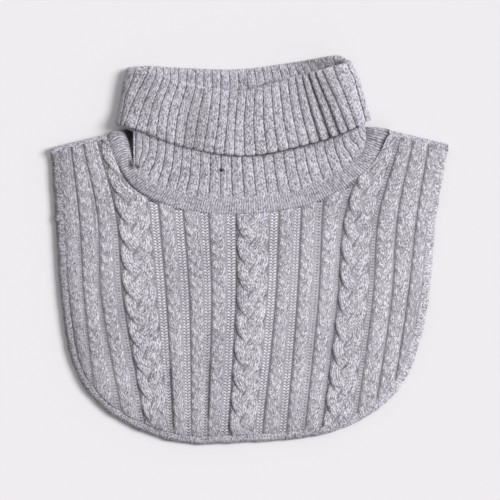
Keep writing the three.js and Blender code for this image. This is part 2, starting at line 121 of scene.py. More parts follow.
class Table:
    """Rows of named numbers, looked up smoothly by their first column."""

    def __init__(self, columns: str, rows: Sequence[Sequence[float]]) -> None:
        """Keeps the rows.

        Args:
            columns: the columns' names, with spaces between.
            rows: the rows, in rising order of the first column.
        """
        self.columns = columns.split()
        self.values = np.array(rows, float)

    def row(self, number: int) -> dict[str, float]:
        """One of the table's own rows.

        Args:
            number: the row's number.

        Returns:
            Each column's name with its value.
        """
        return dict(zip(self.columns, self.values[number]))

    def at(self, place: Field) -> dict[str, np.ndarray]:
        """Every column's value at some places.

        Args:
            place: values of the first column, which may lie beyond the first or the last row.

        Returns:
            Each column's name with its values.
        """
        key = self.values[:, 0]
        last = len(key) - 1
        ahead = np.minimum(np.arange(last + 1) + 1, last)
        behind = np.maximum(np.arange(last + 1) - 1, 0)
        slopes = (self.values[ahead] - self.values[behind]) / (key[ahead] - key[behind])[:, None]
        place = np.asarray(place, float)
        i = np.clip(np.searchsorted(key, place, side="left") - 1, 0, last - 1)
        span = (key[i + 1] - key[i])[..., None]
        t = (place - key[i])[..., None] / span
        low, rise = self.values[i], self.values[i + 1] - self.values[i]
        m0, m1 = slopes[i] * span, slopes[i + 1] * span
        inside = low + t * (m0 + t * (3 * rise - 2 * m0 - m1 + t * (m0 + m1 - 2 * rise)))
        found = np.where(t < 0, low + m0 * t, np.where(t > 1, low + rise + m1 * (t - 1), inside))
        return {name: found[..., k] for k, name in enumerate(self.columns)}


def mix(a: Field, b: Field, share: Field) -> Field:
    """The value between a and b at a share of the way.

    Args:
        a: the value at share 0.
        b: the value at share 1.
        share: the share of the way from a to b.

    Returns:
        The value there.
    """
    return a + (b - a) * share


def ease(values: np.ndarray, low: float, high: float) -> np.ndarray:
    """A smooth step from 0 at low to 1 at high.

    Args:
        values: the numbers to step.
        low: where the step starts.
        high: where it ends.

    Returns:
        A number from 0 to 1 for each value.
    """
    t = np.clip((values - low) / (high - low), 0, 1)
    return t * t * (3 - 2 * t)


def rib_profile(place: np.ndarray, bend: float, fullness: float) -> np.ndarray:
    """The profile of ribs side by side: 0 in their grooves and 1 on their crests.

    Args:
        place: the places across, counted in ribs.
        bend: how flat the crests are.
        fullness: how round the flanks are, where 1 is an arc.

    Returns:
        The profile at each place.
    """
    off = np.abs(2 * np.mod(place, 1) - 1)
    return np.maximum(1 - off**bend, 0) ** fullness


def softened(field_: np.ndarray, reach: int) -> np.ndarray:
    """A field of numbers on a grid, averaged over its neighbours.

    Args:
        field_: rows and columns of values.
        reach: how many grid steps the average takes in to each side.

    Returns:
        The averaged field, of the same shape.
    """
    for axis in (0, 1):
        padded = np.pad(field_, [(reach, reach) if a == axis else (0, 0) for a in (0, 1)], mode="edge")
        total = np.cumsum(padded, axis=axis)
        total = np.concatenate([np.zeros_like(np.take(total, [0], axis)), total], axis)
        size = 2 * reach + 1
        count = field_.shape[axis]
        high = np.take(total, np.arange(size, size + count), axis)
        low = np.take(total, np.arange(count), axis)
        field_ = (high - low) / size
    return field_


@dataclass
class KnitGrid:
    """A grid mesh whose vertices are moved into a knitted shape.

    Fields hold a value for each vertex as rows and columns, with row 0 at the top.
    """

    name: str
    across: int
    along: int
    mesh: bpy.types.Mesh = field(init=False)
    column: np.ndarray = field(init=False)
    row: np.ndarray = field(init=False)

    def __post_init__(self) -> None:
        """Makes the flat grid and notes each vertex's row and column."""
        bm = bmesh.new()
        bmesh.ops.create_grid(bm, x_segments=self.across, y_segments=self.along, size=0.5)
        self.mesh = bpy.data.meshes.new(self.name)
        bm.to_mesh(self.mesh)
        bm.free()
        flat = np.empty(len(self.mesh.vertices) * 3, np.float32)
        self.mesh.vertices.foreach_get("co", flat)
        flat = flat.reshape(-1, 3)
        self.column = np.rint((flat[:, 0] + 0.5) * self.across).astype(int)
        self.row = np.rint((0.5 - flat[:, 1]) * self.along).astype(int)

    def place(self, x: np.ndarray, y: np.ndarray, z: np.ndarray) -> None:
        """Moves every vertex to its place.

        Args:
            x: field of the vertices' places across, in mm.
            y: the same up the collar.
            z: the same off the table.
        """
        points = np.stack([f[self.row, self.column] for f in (x, y, z)], axis=1) * MM
        self.mesh.vertices.foreach_set("co", points.astype(np.float32).ravel())
        self.mesh.update()

    def stitches(self, wales: np.ndarray, courses: np.ndarray) -> None:
        """Writes the UV map "stitches", which counts stitches across and rows of stitches down.

        Args:
            wales: field of counts of stitches across.
            courses: field of counts of rows down.
        """
        corners = np.empty(len(self.mesh.loops), np.int32)
        self.mesh.loops.foreach_get("vertex_index", corners)
        counts = np.stack([f[self.row, self.column] for f in (wales, courses)], axis=1)
        layer = self.mesh.uv_layers.new(name="stitches")
        layer.uv.foreach_set("vector", counts[corners].astype(np.float32).ravel())

    def mask(self, name: str, values: np.ndarray) -> None:
        """Writes a field from 0 to 1 as a vertex attribute that the finishes read.

        Args:
            name: the attribute's name.
            values: the field.
        """
        layer = self.mesh.attributes.new(name, "FLOAT", "POINT")
        layer.data.foreach_set("value", values[self.row, self.column].astype(np.float32))


def as_piece(mesh: bpy.types.Mesh, finish: bpy.types.Material, slot: str, *nodes: str) -> bpy.types.Object:
    """Makes a finished mesh a shown piece that rides on the garment and stands for its solids.

    Args:
        mesh: the mesh, in metres in the garment's frame.
        finish: its material.
        slot: not used.
        nodes: the solids that it stands for.

    Returns:
        The new object.
    """
    mesh.shade_smooth()
    mesh.materials.append(finish)
    piece = bpy.data.objects.new(mesh.name, mesh)
    bpy.context.scene.collection.objects.link(piece)
    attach(piece, "root")
    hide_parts(*nodes)
    LOG.info("%s: %d faces", piece.name, len(mesh.polygons))
    return piece


def closed_up(mesh: bpy.types.Mesh, *others: bpy.types.Mesh) -> None:
    """Makes one closed shell of a grid whose opposite borders meet, or of two grids face to face.

    A roll's two open ends are filled, and two grids' borders are bridged.

    Args:
        mesh: the mesh, which becomes the closed shell.
        others: grids to join to it, border to border.
    """
    bm = bmesh.new()
    bm.from_mesh(mesh)
    for other in others:
        bm.from_mesh(other)
        bpy.data.meshes.remove(other)
    bmesh.ops.remove_doubles(bm, verts=bm.verts, dist=MERGE_DISTANCE)
    border = [edge for edge in bm.edges if edge.is_boundary]
    if others:
        bmesh.ops.bridge_loops(bm, edges=border)
    elif border:
        bmesh.ops.holes_fill(bm, edges=border, sides=0)
    bmesh.ops.recalc_face_normals(bm, faces=bm.faces)
    bm.to_mesh(mesh)
    bm.free()


# The garment's lines, which follow the solids'. The fold and the hem have more rows at the mouth's right
# corner, where they are a few millimetres nearer to the real one's.

NECK = Table(
    "angle seam hem fold",
    [
        (0, 104, 120, 169),
        (15, 92, 112, 166),
        (30, 78, 106.5, 163.5),
        (60, 54, 93.5, 154),
        (90, 44.6, 84, 141.8),
        (120, 48, 92.3, 149.5),
        (150, 65, 107, 161),
        (180, 101, 111.5, 163.5),
        (210, 88, 109, 165),
        (240, 77, 105, 163),
        (270, 73, 104, 162),
        (300, 78, 111, 168),
        (330, 92, 118, 174),
        (345, 99, 119.5, 173.5),
    ],
)
NECK_ROUND = Table(
    "angle seam hem fold",
    np.concatenate([NECK.values + (360 * turn, 0, 0, 0) for turn in (-1, 0, 1)]),
)
WALL_LEVELS = Table(
    "share centre half_width low high",
    [
        (0, -2, 110, 3.4, 12.6),
        (0.1, -2.5, 103, 4.2, 13),
        (0.4, -5, 100, 6.6, 14.4),
        (0.7, -7.5, 97, 6.6, 15),
        (1, -9, 97, 6.6, 15),
    ],
)
CUFF_LEVELS = Table(
    "share centre half_width low high",
    [
        (0, -9, 97, 6.6, 15),
        (0.5, -7.5, 102, 6.6, 15.2),
        (1, -6, 108, 6.6, 15),
    ],
)
# Where the grooves between the ribs run on the front: each row is a height, as a share of the wall or of
# the cuff, with the x of some of the grooves, which are counted from the right side
GROOVES = (1, 2, 3, 5, 7, 10, 13, 16, 19, 22, 24, 25, 26)
GROOVE_NAMES = "share " + " ".join(f"groove_{number}" for number in GROOVES)
WALL_GROOVES = Table(
    GROOVE_NAMES,
    [
        (0, 106.2, 104.4, 99.9, 83.7, 66.6, 36.5, 6.3, -26.1, -57.6, -83.7, -99, -100.8, -102.6),
        (0.2, 101.7, 98.1, 90, 76.5, 60.3, 32.4, 4, -26.1, -53.6, -77.4, -91.4, -95.9, -101.7),
        (0.45, 99, 95.4, 87.3, 72, 55.8, 28.8, 1.8, -26.1, -52.2, -74.7, -89.1, -97.2, -102.6),
        (1, 87.3, 74.7, 64.8, 52.2, 40.5, 18.9, -3.2, -26.1, -48.6, -71.1, -83.7, -90.9, -101.7),
    ],
)
CUFF_GROOVES = Table(
    GROOVE_NAMES,
    [
        (0, 87.3, 74.7, 64.8, 52.2, 40.5, 18.9, -3.2, -26.1, -48.6, -71.1, -83.7, -90.9, -101.7),
        (0.5, 94.5, 85.5, 77, 61.7, 45.9, 21.2, -5.4, -28.4, -55.4, -79.7, -94, -103, -109.4),
        (1, 103.5, 94.5, 87.3, 71.1, 53.1, 25.2, -4.5, -32.4, -59.4, -83.7, -101.7, -111.6, -116.1),
    ],
)
MIDDLE_LEVEL = 3  # the wall's row that stands for most of its height
LENS_ROUNDNESS = 0.6  # how blunt the hollow's two flattened sides are
LEAST_SINE = 1e-3  # keeps the normals finite where the hollow's front meets its back
ANGLE_STEPS = 1441
FOLD_RADIUS = KNIT + GAP / 2  # of the fold at the collar's mouth
CUFF_INSIDE = KNIT + GAP  # from the hollow to the cuff's inner face
CUFF_OUTSIDE = CUFF_INSIDE + KNIT
HEM_TURN = 1.2  # how much the cuff thins at its hem
SEAM_TURN = 0.3  # how much the wall thins at its seam
BAND_WIDTH = 13
BAND_FANNING = 0.75  # how much of the band's width goes sideways at its two ends
BAND_START = 0.7  # from the wall's ribs to the band
RIB_RELIEF = 0.9  # how far the solid's ribs stand out of their grooves
EDGE_WIDTH = 7
EDGE_END = 1.6  # how far an edge strip stops short of the shoulder
SHOULDER = {"left": 104, "right": 107, "slope": 0.235, "from": 126, "depth": 5}


def neck_lines(angle: np.ndarray) -> dict[str, np.ndarray]:
    """The heights of the collar's seam, hem and fold at some angles round the neck, in radians.

    Args:
        angle: the angles.

    Returns:
        The three lines' names with their heights.
    """
    return NECK_ROUND.at(np.degrees(angle))


def lens_point(angle: np.ndarray, lens: dict[str, Field]) -> tuple[np.ndarray, ...]:
    """A point of the flattened hollow's section.

    Args:
        angle: radians round the neck.
        lens: the section's centre, half width and lowest and highest point.

    Returns:
        x, z and the outward normal's x and z.
    """
    cos, sin = np.cos(angle), np.sin(angle)
    steep = np.maximum(np.abs(sin), LEAST_SINE)
    half = (lens["high"] - lens["low"]) / 2
    nx = half * LENS_ROUNDNESS * steep ** (LENS_ROUNDNESS - 1) * cos
    nz = lens["half_width"] * sin
    size = np.hypot(nx, nz)
    x = lens["centre"] + lens["half_width"] * cos
    z = (lens["low"] + lens["high"]) / 2 + half * np.sign(sin) * np.abs(sin) ** LENS_ROUNDNESS
    return x, z, nx / size, nz / size


def even_angles(shares: np.ndarray) -> np.ndarray:
    """Angles round the neck that lie evenly along the flattened wall.

    Args:
        shares: places from 0 to 1, from the right side over the front.

    Returns:
        Their angles in radians.
    """
    angle = np.linspace(0, TURN, ANGLE_STEPS)
    x, z, nx, nz = lens_point(angle, WALL_LEVELS.row(MIDDLE_LEVEL))
    x, z = x + nx * KNIT, np.maximum(z + nz * KNIT, RESTING)
    length = np.concatenate([[0], np.cumsum(np.hypot(np.diff(x), np.diff(z)))])
    return np.interp(shares * length[-1], length, angle)


def band_point(angle: np.ndarray, across: Field, up: Field) -> tuple[np.ndarray, ...]:
    """A point of the neck band.

    Args:
        angle: radians round the neck.
        across: distance from the band's inner edge, away from the neck.
        up: distance out of the band's underside.

    Returns:
        x, y and z.
    """
    x, z, nx, nz = lens_point(angle, WALL_LEVELS.row(0))
    sideways, down = BAND_FANNING * np.cos(angle), -np.abs(np.sin(angle))
    size = np.hypot(sideways, down)
    out = BAND_START + (KNIT + RIB_RELIEF) * np.abs(nx) + across
    return (
        x + sideways / size * out,
        neck_lines(angle)["seam"] + down / size * out + np.abs(nx) * up,
        np.maximum(z + nz * up, RESTING),
    )


class Stitch(Enum):
    """What a column of the front bib is knitted in."""

    TWIST = "narrow plait of six stitches"
    PLAIT = "wide plait of nine stitches"


class Column(NamedTuple):
    """A knit column of the front bib, and the purl gutter right of it.

    x is its left line at four heights. The share is the part of its width that stands up. Over the last
    height the gutter is closed.
    """

    shoulder: float
    chest: float
    waist: float
    hem: float
    stitch: Stitch = Stitch.TWIST
    share: float = 1.0
    open_below: float = 200.0


HEIGHTS = {"shoulder": 90, "chest": 30, "waist": -45, "hem": -160}
COLUMNS = [
    Column(-171.5, -167.5, -162.3, -145, Stitch.TWIST, 0.75, 12),
    Column(-160, -153, -148.5, -136, Stitch.TWIST, 0.8, 4),
    Column(-148.5, -136.4, -133.2, -112.5, Stitch.TWIST, 0.7, 26),
    Column(-135, -119.7, -113.4, -93.6, Stitch.PLAIT, 0.79),
    Column(-86.4, -81, -74.7, -68.4, Stitch.TWIST, 0.62),
    Column(-64.8, -59.4, -54, -52.2, Stitch.TWIST, 0.65),
    Column(-40.5, -36.9, -34.2, -37.8, Stitch.TWIST, 0.62),
    Column(-13.5, -12.6, -12.6, -18.9, Stitch.PLAIT, 0.78),
    Column(29.7, 26.1, 23, 11.7, Stitch.TWIST, 0.65),
    Column(48.6, 45.9, 42.3, 33.3, Stitch.TWIST, 0.7),
    Column(69.3, 64.8, 61.2, 49.5, Stitch.TWIST, 0.8),
    Column(104.4, 84.6, 78.3, 64.8, Stitch.PLAIT, 0.86),
    Column(132.3, 115.2, 109.8, 94.5, Stitch.TWIST, 0.95),
    Column(144.5, 132.3, 126.9, 109.8, Stitch.TWIST, 0.95),
    Column(159.8, 149.9, 141.3, 124.2, Stitch.TWIST, 1.0),
    Column(170.3, 160, 152.8, 129.8),
]


# How the painted shade of a fold fades in at its two ends
FOLD_FOOT = 4.0  # over how much height to each side of its lower end a fold fades out
FOLD_TOP = 6.0  # the same at its upper end


class Fold(NamedTuple):
    """Painted shade of a deeper fold along a column's left line, between two heights."""

    column: int
    top: float
    bottom: float
    half_width: float
    depth: float

    def painted_shade_and_stain(self, x: np.ndarray, y: np.ndarray) -> np.ndarray:
        """How dark the fold's painted shade is at some places.

        Args:
            x: the places across.
            y: the places up.

        Returns:
            A depth from 0 to 1 for each place.
        """
        off = (x - column_line(COLUMNS[self.column], y)) / self.half_width
        starts = ease(y, self.bottom - FOLD_FOOT, self.bottom + FOLD_FOOT)
        ends = ease(y, self.top - FOLD_TOP, self.top + FOLD_TOP)
        return self.depth * np.exp(-off * off) * (starts * (1 - ends))


# Painted shade along folds of the front's knit, which have no relief of their own
PAINTED_FOLD_SHADES = (
    Fold(4, -104, -162, 1.7, 1.0),
    Fold(6, -100, -152, 1.6, 0.95),
    Fold(7, -140, -162, 1.5, 0.9),
    Fold(8, -130, -160, 1.4, 0.8),
    Fold(14, -25, -52, 1.0, 0.75),
    Fold(12, 90, 14, 1.0, 0.8),
    Fold(11, -14, -30, 1.0, 0.75),
    Fold(1, 106, 24, 0.9, 1.0),
    Fold(2, 106, 30, 0.9, 1.0),
)
HEM = Table(
    "x y",
    [
        (-160, -70),
        (-156, -88.5),
        (-146.3, -114.3),
        (-127, -137.4),
        (-96, -155.8),
        (-58, -166.8),
        (-9, -166.3),
        (44, -162.4),
        (78.6, -154.6),
        (112.5, -136),
        (134.9, -110.2),
        (145.8, -79.7),
        (150, -62),
    ],
)
DRAPE = Table(
    "y left middle right",
    [
        (-175, 3.7, 3.9, 3.7),
        (-130, 4, 6.4, 3.9),
        (-80, 4.6, 10.6, 4.2),
        (-30, 5.2, 13.2, 4.6),
        (40, 5.8, 13.4, 5),
        (105, 6, 13.6, 5.4),
    ],
)
DRAPE_SHAPE = 0.8  # how soon the front bib's underside rises from its sides


def column_line(column: Column, y: np.ndarray) -> np.ndarray:
    """The x of a column's left line at some heights.

    Args:
        column: the column.
        y: the heights.

    Returns:
        The line's x at each height.
    """
    names = sorted(HEIGHTS, key=HEIGHTS.get)
    rows = [(HEIGHTS[name], getattr(column, name)) for name in names]
    return Table("height x", rows).at(y)["x"]


def front_under(x: np.ndarray, y: np.ndarray) -> np.ndarray:
    """How high the front bib's underside hangs over the table.

    Args:
        x: the places across.
        y: the places up.

    Returns:
        The height at each place.
    """
    row = DRAPE.at(y)
    first, last = COLUMNS[0].chest, COLUMNS[-1].chest
    across = (2 * x - first - last) / (last - first)
    edge = np.where(across < 0, row["left"], row["right"])
    return edge + (row["middle"] - edge) * np.maximum(1 - across * across, 0) ** DRAPE_SHAPE


def shoulder_line(x: np.ndarray) -> np.ndarray:
    """The height of the shoulder's outer edge.

    Args:
        x: the places across.

    Returns:
        The edge's y at each place.
    """
    peak = np.where(x < 0, SHOULDER["left"], SHOULDER["right"])
    return peak - SHOULDER["slope"] * (np.abs(x) - SHOULDER["from"])


def within(outline: np.ndarray, x: np.ndarray, y: np.ndarray) -> np.ndarray:
    """Whether points lie inside a closed outline.

    Args:
        outline: the corners, as rows of x and y.
        x: the points' places across.
        y: the points' places up.

    Returns:
        True for each point inside.
    """
    inside = np.zeros(np.shape(x), bool)
    for (ax, ay), (bx, by) in zip(outline, np.roll(outline, -1, axis=0)):
        if ay != by:
            crosses = (ay > y) != (by > y)
            inside ^= crosses & (x < ax + (bx - ax) * (y - ay) / (by - ay))
    return inside


@dataclass(frozen=True)
class BibPlan:
    """Where one bib lies between the neck band, the shoulders and its hem.

    The clearances are how far the knit keeps from those lines; below 0 it tucks under them.
    """

    is_front: bool
    neck_clearance: float = -1.2
    shoulder_clearance: float = -1.0
    hem_inset: float = 0.0
    side_inset: float = 0.0
    neck_corners: int = 361
    search_steps: int = 900
    over_shoulder: float = 1.0
    below_hem: float = -180.0

    def line(self, left: Column, right: Column, share: float, y: np.ndarray) -> np.ndarray:
        """The x of a line between two columns' lines at some heights.

        Args:
            left: the column left of it.
            right: the column right of it.
            share: its share of the way between them.
            y: the heights.

        Returns:
            The line's x at each height.
        """
        return mix(column_line(left, y), column_line(right, y), share)

    def neck_outline(self) -> np.ndarray:
        """The outline of the neck hole with its band, as corners in the plane.

        Returns:
            Rows of x and y.
        """
        angles = even_angles(np.linspace(0, 1, self.neck_corners)[:-1])
        angles = angles[(np.sin(angles) >= 0) == self.is_front]
        x, y, _ = band_point(angles, BAND_WIDTH + self.neck_clearance, 0)
        above = SHOULDER["right"] + BAND_WIDTH
        ends = [(x[0], above), *zip(x, y), (x[-1], above)]
        return np.array(ends)

    def span(self, x_at: LineAt) -> tuple[float, float]:
        """The highest and lowest y at which a line is in the bib.

        Args:
            x_at: gives the line's x at some heights.

        Returns:
            The top and the bottom height.
        """
        outline = self.neck_outline()
        ends = []
        for end in (SHOULDER["right"] + self.over_shoulder, self.below_hem):
            y = np.linspace(HEIGHTS["waist"], end, self.search_steps)
            x = x_at(y)
            is_bib = y < shoulder_line(x) - SHOULDER["depth"] - self.shoulder_clearance
            is_bib &= y > HEM.at(x)["y"] + self.hem_inset
            is_bib &= ~within(outline, x, y)
            first_out = np.argmin(is_bib) if not is_bib.all() else len(y)
            ends.append(y[max(first_out - 1, 0)])
        return ends[0], ends[1]


FRONT_PLAN = BibPlan(is_front=True)
BACK_PLAN = BibPlan(is_front=False, hem_inset=1.5, side_inset=1.5)


# The finishes

PURL_ARC = 0.65  # how high a purl stitch's arc bows, in rows
PURL_SPLIT = 0.35  # how far a purl stitch's height falls between two arcs
PURL_FIBRES = 3.0  # strips of fibres across a purl stitch
LEG_BEND = 2.0  # how flat a leg of yarn is across
LEG_SHARE = 0.45  # how much of a knit stitch's height follows its two legs
WALE_BEND = 3.0  # how flat a whole knit stitch is across
YARN_BEND = 2.0  # how flat the yarn is along its rows
YARN_FULLNESS = 0.8  # how full the yarn's round is, where 1 is an arc
FIBRE_SLICE = 0.5  # the slice of the noise that the fibres are read from
# Painted light and shade by stitch height: the yarn is drawn lighter on the stitches' crests and darker
# between them
LIT_HEIGHT = 0.62  # the height in a stitch at which the yarn has its own colour
LIT_SHARE = 0.92  # how light it is there
PAINTED_SHADE_SHARE = 0.78  # how much of the light a full crease takes away
FLOCK_SCALE = 1350.0  # of the single fibres
FLOCK_WEIGHT = 0.25  # how much the single fibres add to the yarn's lightness
DRIFT_SCALE = 22.0  # of the slow changes from one place on the garment to another
DRIFT_WEIGHT = 0.3  # how much the slow changes add to it
DRIFT_DETAIL = 2.0
EVEN = 0.5  # the lightness with as many dark as light fibres
MIXED_NUMBERS = 2  # where a Mix node's numbers start among its inputs
MIXED_COLOURS = 6  # where its colours start


class Wiring:
    """Adds nodes to one node tree and links them."""

    def __init__(self, tree: bpy.types.NodeTree) -> None:
        """Starts wiring a tree.

        Args:
            tree: the node tree.
        """
        self.tree = tree

    def node(self, kind: str, **settings: object) -> bpy.types.Node:
        """Adds a node of a kind, with its properties set.

        Args:
            kind: the node's type.
            settings: its properties with their values.

        Returns:
            The new node.
        """
        made = self.tree.nodes.new(kind)
        for name, value in settings.items():
            setattr(made, name, value)
        return made

    def feed(self, socket: bpy.types.NodeSocket, value: object) -> None:
        """Links a socket to another's output, or sets its value.

        Args:
            socket: the input.
            value: an output, or a plain value.
        """
        if isinstance(value, bpy.types.NodeSocket):
            self.tree.links.new(value, socket)
        else:
            socket.default_value = value

    def math(self, operation: str, *values: object, clamp: bool = False) -> bpy.types.NodeSocket:
        """A Math node's result.

        Args:
            operation: what the node does.
            values: its inputs.
            clamp: whether it stays from 0 to 1.

        Returns:
            The node's output.
        """
        made = self.node("ShaderNodeMath", operation=operation, use_clamp=clamp)
        for socket, value in zip(made.inputs, values):
            self.feed(socket, value)
        return made.outputs[0]

    def blend(self, share: object, a: object, b: object) -> bpy.types.NodeSocket:
        """A colour or number between a and b, by a share.

        Args:
            share: the share of b.
            a: the colour or number at share 0.
            b: the same at share 1.

        Returns:
            The node's output.
        """
        is_colour = isinstance(a, tuple) or getattr(a, "type", "") == "RGBA"
        made = self.node("ShaderNodeMix", data_type="RGBA" if is_colour else "FLOAT")
        first = MIXED_COLOURS if is_colour else MIXED_NUMBERS
        self.feed(made.inputs[0], share)
        self.feed(made.inputs[first], a)
        self.feed(made.inputs[first + 1], b)
        return made.outputs[2 if is_colour else 0]

    def noise(self, place: object, scale: float, detail: float) -> bpy.types.NodeSocket:
        """A Noise texture's value.

        Args:
            place: where the texture is read.
            scale: its scale.
            detail: its detail.

        Returns:
            The node's output.
        """
        made = self.node("ShaderNodeTexNoise", noise_dimensions="3D")
        self.feed(made.inputs["Vector"], place)
        self.feed(made.inputs["Scale"], scale)
        self.feed(made.inputs["Detail"], detail)
        return made.outputs[0]

    def vector(self, x: object, y: object, z: object = 0.0) -> bpy.types.NodeSocket:
        """A vector of three numbers.

        Args:
            x: the first number.
            y: the second.
            z: the third.

        Returns:
            The node's output.
        """
        made = self.node("ShaderNodeCombineXYZ")
        for socket, value in zip(made.inputs, (x, y, z)):
            self.feed(socket, value)
        return made.outputs[0]


def new_group(
    name: str,
    inputs: dict[str, tuple[str, object]],
    outputs: dict[str, str],
) -> bpy.types.NodeTree:
    """Starts a shader node group with named sockets.

    Args:
        name: the group's name.
        inputs: each input's name with its kind, Float, Color or Vector, and its first value.
        outputs: each output's name with its kind.

    Returns:
        The group's tree, which holds a group input and a group output node.
    """
    tree = bpy.data.node_groups.new(name, "ShaderNodeTree")
    for label, (kind, value) in inputs.items():
        socket = tree.interface.new_socket(label, in_out="INPUT", socket_type="NodeSocket" + kind)
        socket.default_value = value
    for label, kind in outputs.items():
        tree.interface.new_socket(label, in_out="OUTPUT", socket_type="NodeSocket" + kind)
    tree.nodes.new("NodeGroupInput")
    tree.nodes.new("NodeGroupOutput")
    return tree


def ridge(w: Wiring, value: bpy.types.NodeSocket, power: float) -> bpy.types.NodeSocket:
    """Wires up a ridge that is 1 in the middle of the range 0 to 1 and 0 at its ends.

    Args:
        w: the group's wiring.
        value: a number from 0 to 1.
        power: how flat the middle is.

    Returns:
        The ridge's height.
    """
    bend = w.math("ABSOLUTE", w.math("MULTIPLY_ADD", value, 2.0, -1.0))
    return w.math("SUBTRACT", 1.0, w.math("POWER", bend, power))


class StitchPlace(NamedTuple):
    """Where a place lies among the stitches, as outputs of nodes.

    The leg is the number of its leg of yarn, and across its share of that leg's width. The bow is 1 in the
    middle of an arc of purl. The row is counted along the stitches, which slant in knit and arch in purl.
    """

    leg: bpy.types.NodeSocket
    across: bpy.types.NodeSocket
    bow: bpy.types.NodeSocket
    row: bpy.types.NodeSocket


def stitch_place(
    w: Wiring,
    wale: bpy.types.NodeSocket,
    course: bpy.types.NodeSocket,
    is_purl: bpy.types.NodeSocket,
    lean: bpy.types.NodeSocket,
) -> StitchPlace:
    """Wires up where a place lies among the stitches.

    Args:
        w: the group's wiring.
        wale: the count of stitches across.
        course: the count of stitches down.
        is_purl: 1 where the knit is purl.
        lean: how far the two legs of a knit stitch lean to each other.

    Returns:
        The place.
    """
    legs = w.math("MULTIPLY", wale, 2.0)
    leg = w.math("FLOOR", legs)
    across = w.math("SUBTRACT", legs, leg)
    side = w.math("FLOORED_MODULO", leg, 2.0)
    sign = w.math("MULTIPLY_ADD", side, 2.0, -1.0)
    slant = w.math("MULTIPLY", w.math("SUBTRACT", across, 0.5), w.math("MULTIPLY", sign, lean))
    bow = w.math("ABSOLUTE", w.math("COSINE", w.math("MULTIPLY", wale, math.pi)))
    arc = w.math("MULTIPLY", bow, PURL_ARC)
    row = w.blend(is_purl, w.math("ADD", course, slant), w.math("ADD", course, arc))
    return StitchPlace(leg, across, bow, row)


def knit_stitch_group() -> bpy.types.NodeTree:
    """Builds the group that draws knit and purl stitches from counts of stitches.

    Returns:
        A group whose Height is the yarn's roundness, Strand a random number for each leg of yarn,
        and Fibre the fine streaks along it.
    """
    tree = new_group(
        "Knit stitches",
        {
            "Stitches": ("Vector", (0, 0, 0)),
            "Purl": ("Float", 0.0),
            "Lean": ("Float", 0.8),
            "Split": ("Float", 0.5),
            "Rows": ("Float", 1.0),
            "Fibres": ("Float", 4.0),
            "Strokes": ("Float", 2.0),
        },
        {"Height": "Float", "Strand": "Float", "Fibre": "Float"},
    )
    inputs, sink = tree.nodes["Group Input"].outputs, tree.nodes["Group Output"]
    w = Wiring(tree)
    counts = w.node("ShaderNodeSeparateXYZ")
    w.feed(counts.inputs[0], inputs["Stitches"])
    wale, course = counts.outputs[0], counts.outputs[1]
    is_purl = w.math("GREATER_THAN", inputs["Purl"], 0.5)
    place = stitch_place(w, wale, course, is_purl, inputs["Lean"])
    course_number = w.math("FLOOR", place.row)

    # The height falls off to the sides of a stitch and between its rows
    middle = w.math("SUBTRACT", wale, w.math("FLOOR", wale))
    leg_round = w.math("MULTIPLY_ADD", ridge(w, place.across, LEG_BEND), LEG_SHARE, 1 - LEG_SHARE)
    legs_round = w.math("MULTIPLY", leg_round, ridge(w, middle, WALE_BEND))
    flank = w.blend(is_purl, legs_round, place.bow)
    sunk = w.math("MULTIPLY", w.math("SUBTRACT", 1.0, flank), w.blend(is_purl, inputs["Split"], PURL_SPLIT))
    yarn = w.math("POWER", ridge(w, w.math("SUBTRACT", place.row, course_number), YARN_BEND), YARN_FULLNESS)
    row_height = w.blend(w.blend(is_purl, inputs["Rows"], 1.0), 1.0, yarn)
    w.feed(sink.inputs["Height"], w.math("MULTIPLY", row_height, w.math("SUBTRACT", 1.0, sunk)))

    # Each leg of yarn has a number of its own
    seed = w.node("ShaderNodeTexWhiteNoise", noise_dimensions="2D")
    w.feed(seed.inputs["Vector"], w.vector(place.leg, course_number))
    w.feed(sink.inputs["Strand"], seed.outputs["Value"])

    # The fibres are short strokes along the row, each strip of them half a stroke past the last
    lane = w.math("FLOOR", w.math("MULTIPLY", wale, w.blend(is_purl, inputs["Fibres"], PURL_FIBRES)))
    stagger = w.math("MULTIPLY", w.math("FLOORED_MODULO", lane, 2.0), 0.5)
    stroke = w.math("FLOOR", w.math("MULTIPLY_ADD", place.row, inputs["Strokes"], stagger))
    streak = w.node("ShaderNodeTexWhiteNoise", noise_dimensions="3D")
    w.feed(streak.inputs["Vector"], w.vector(lane, stroke, FIBRE_SLICE))
    w.feed(sink.inputs["Fibre"], streak.outputs["Value"])
    return tree


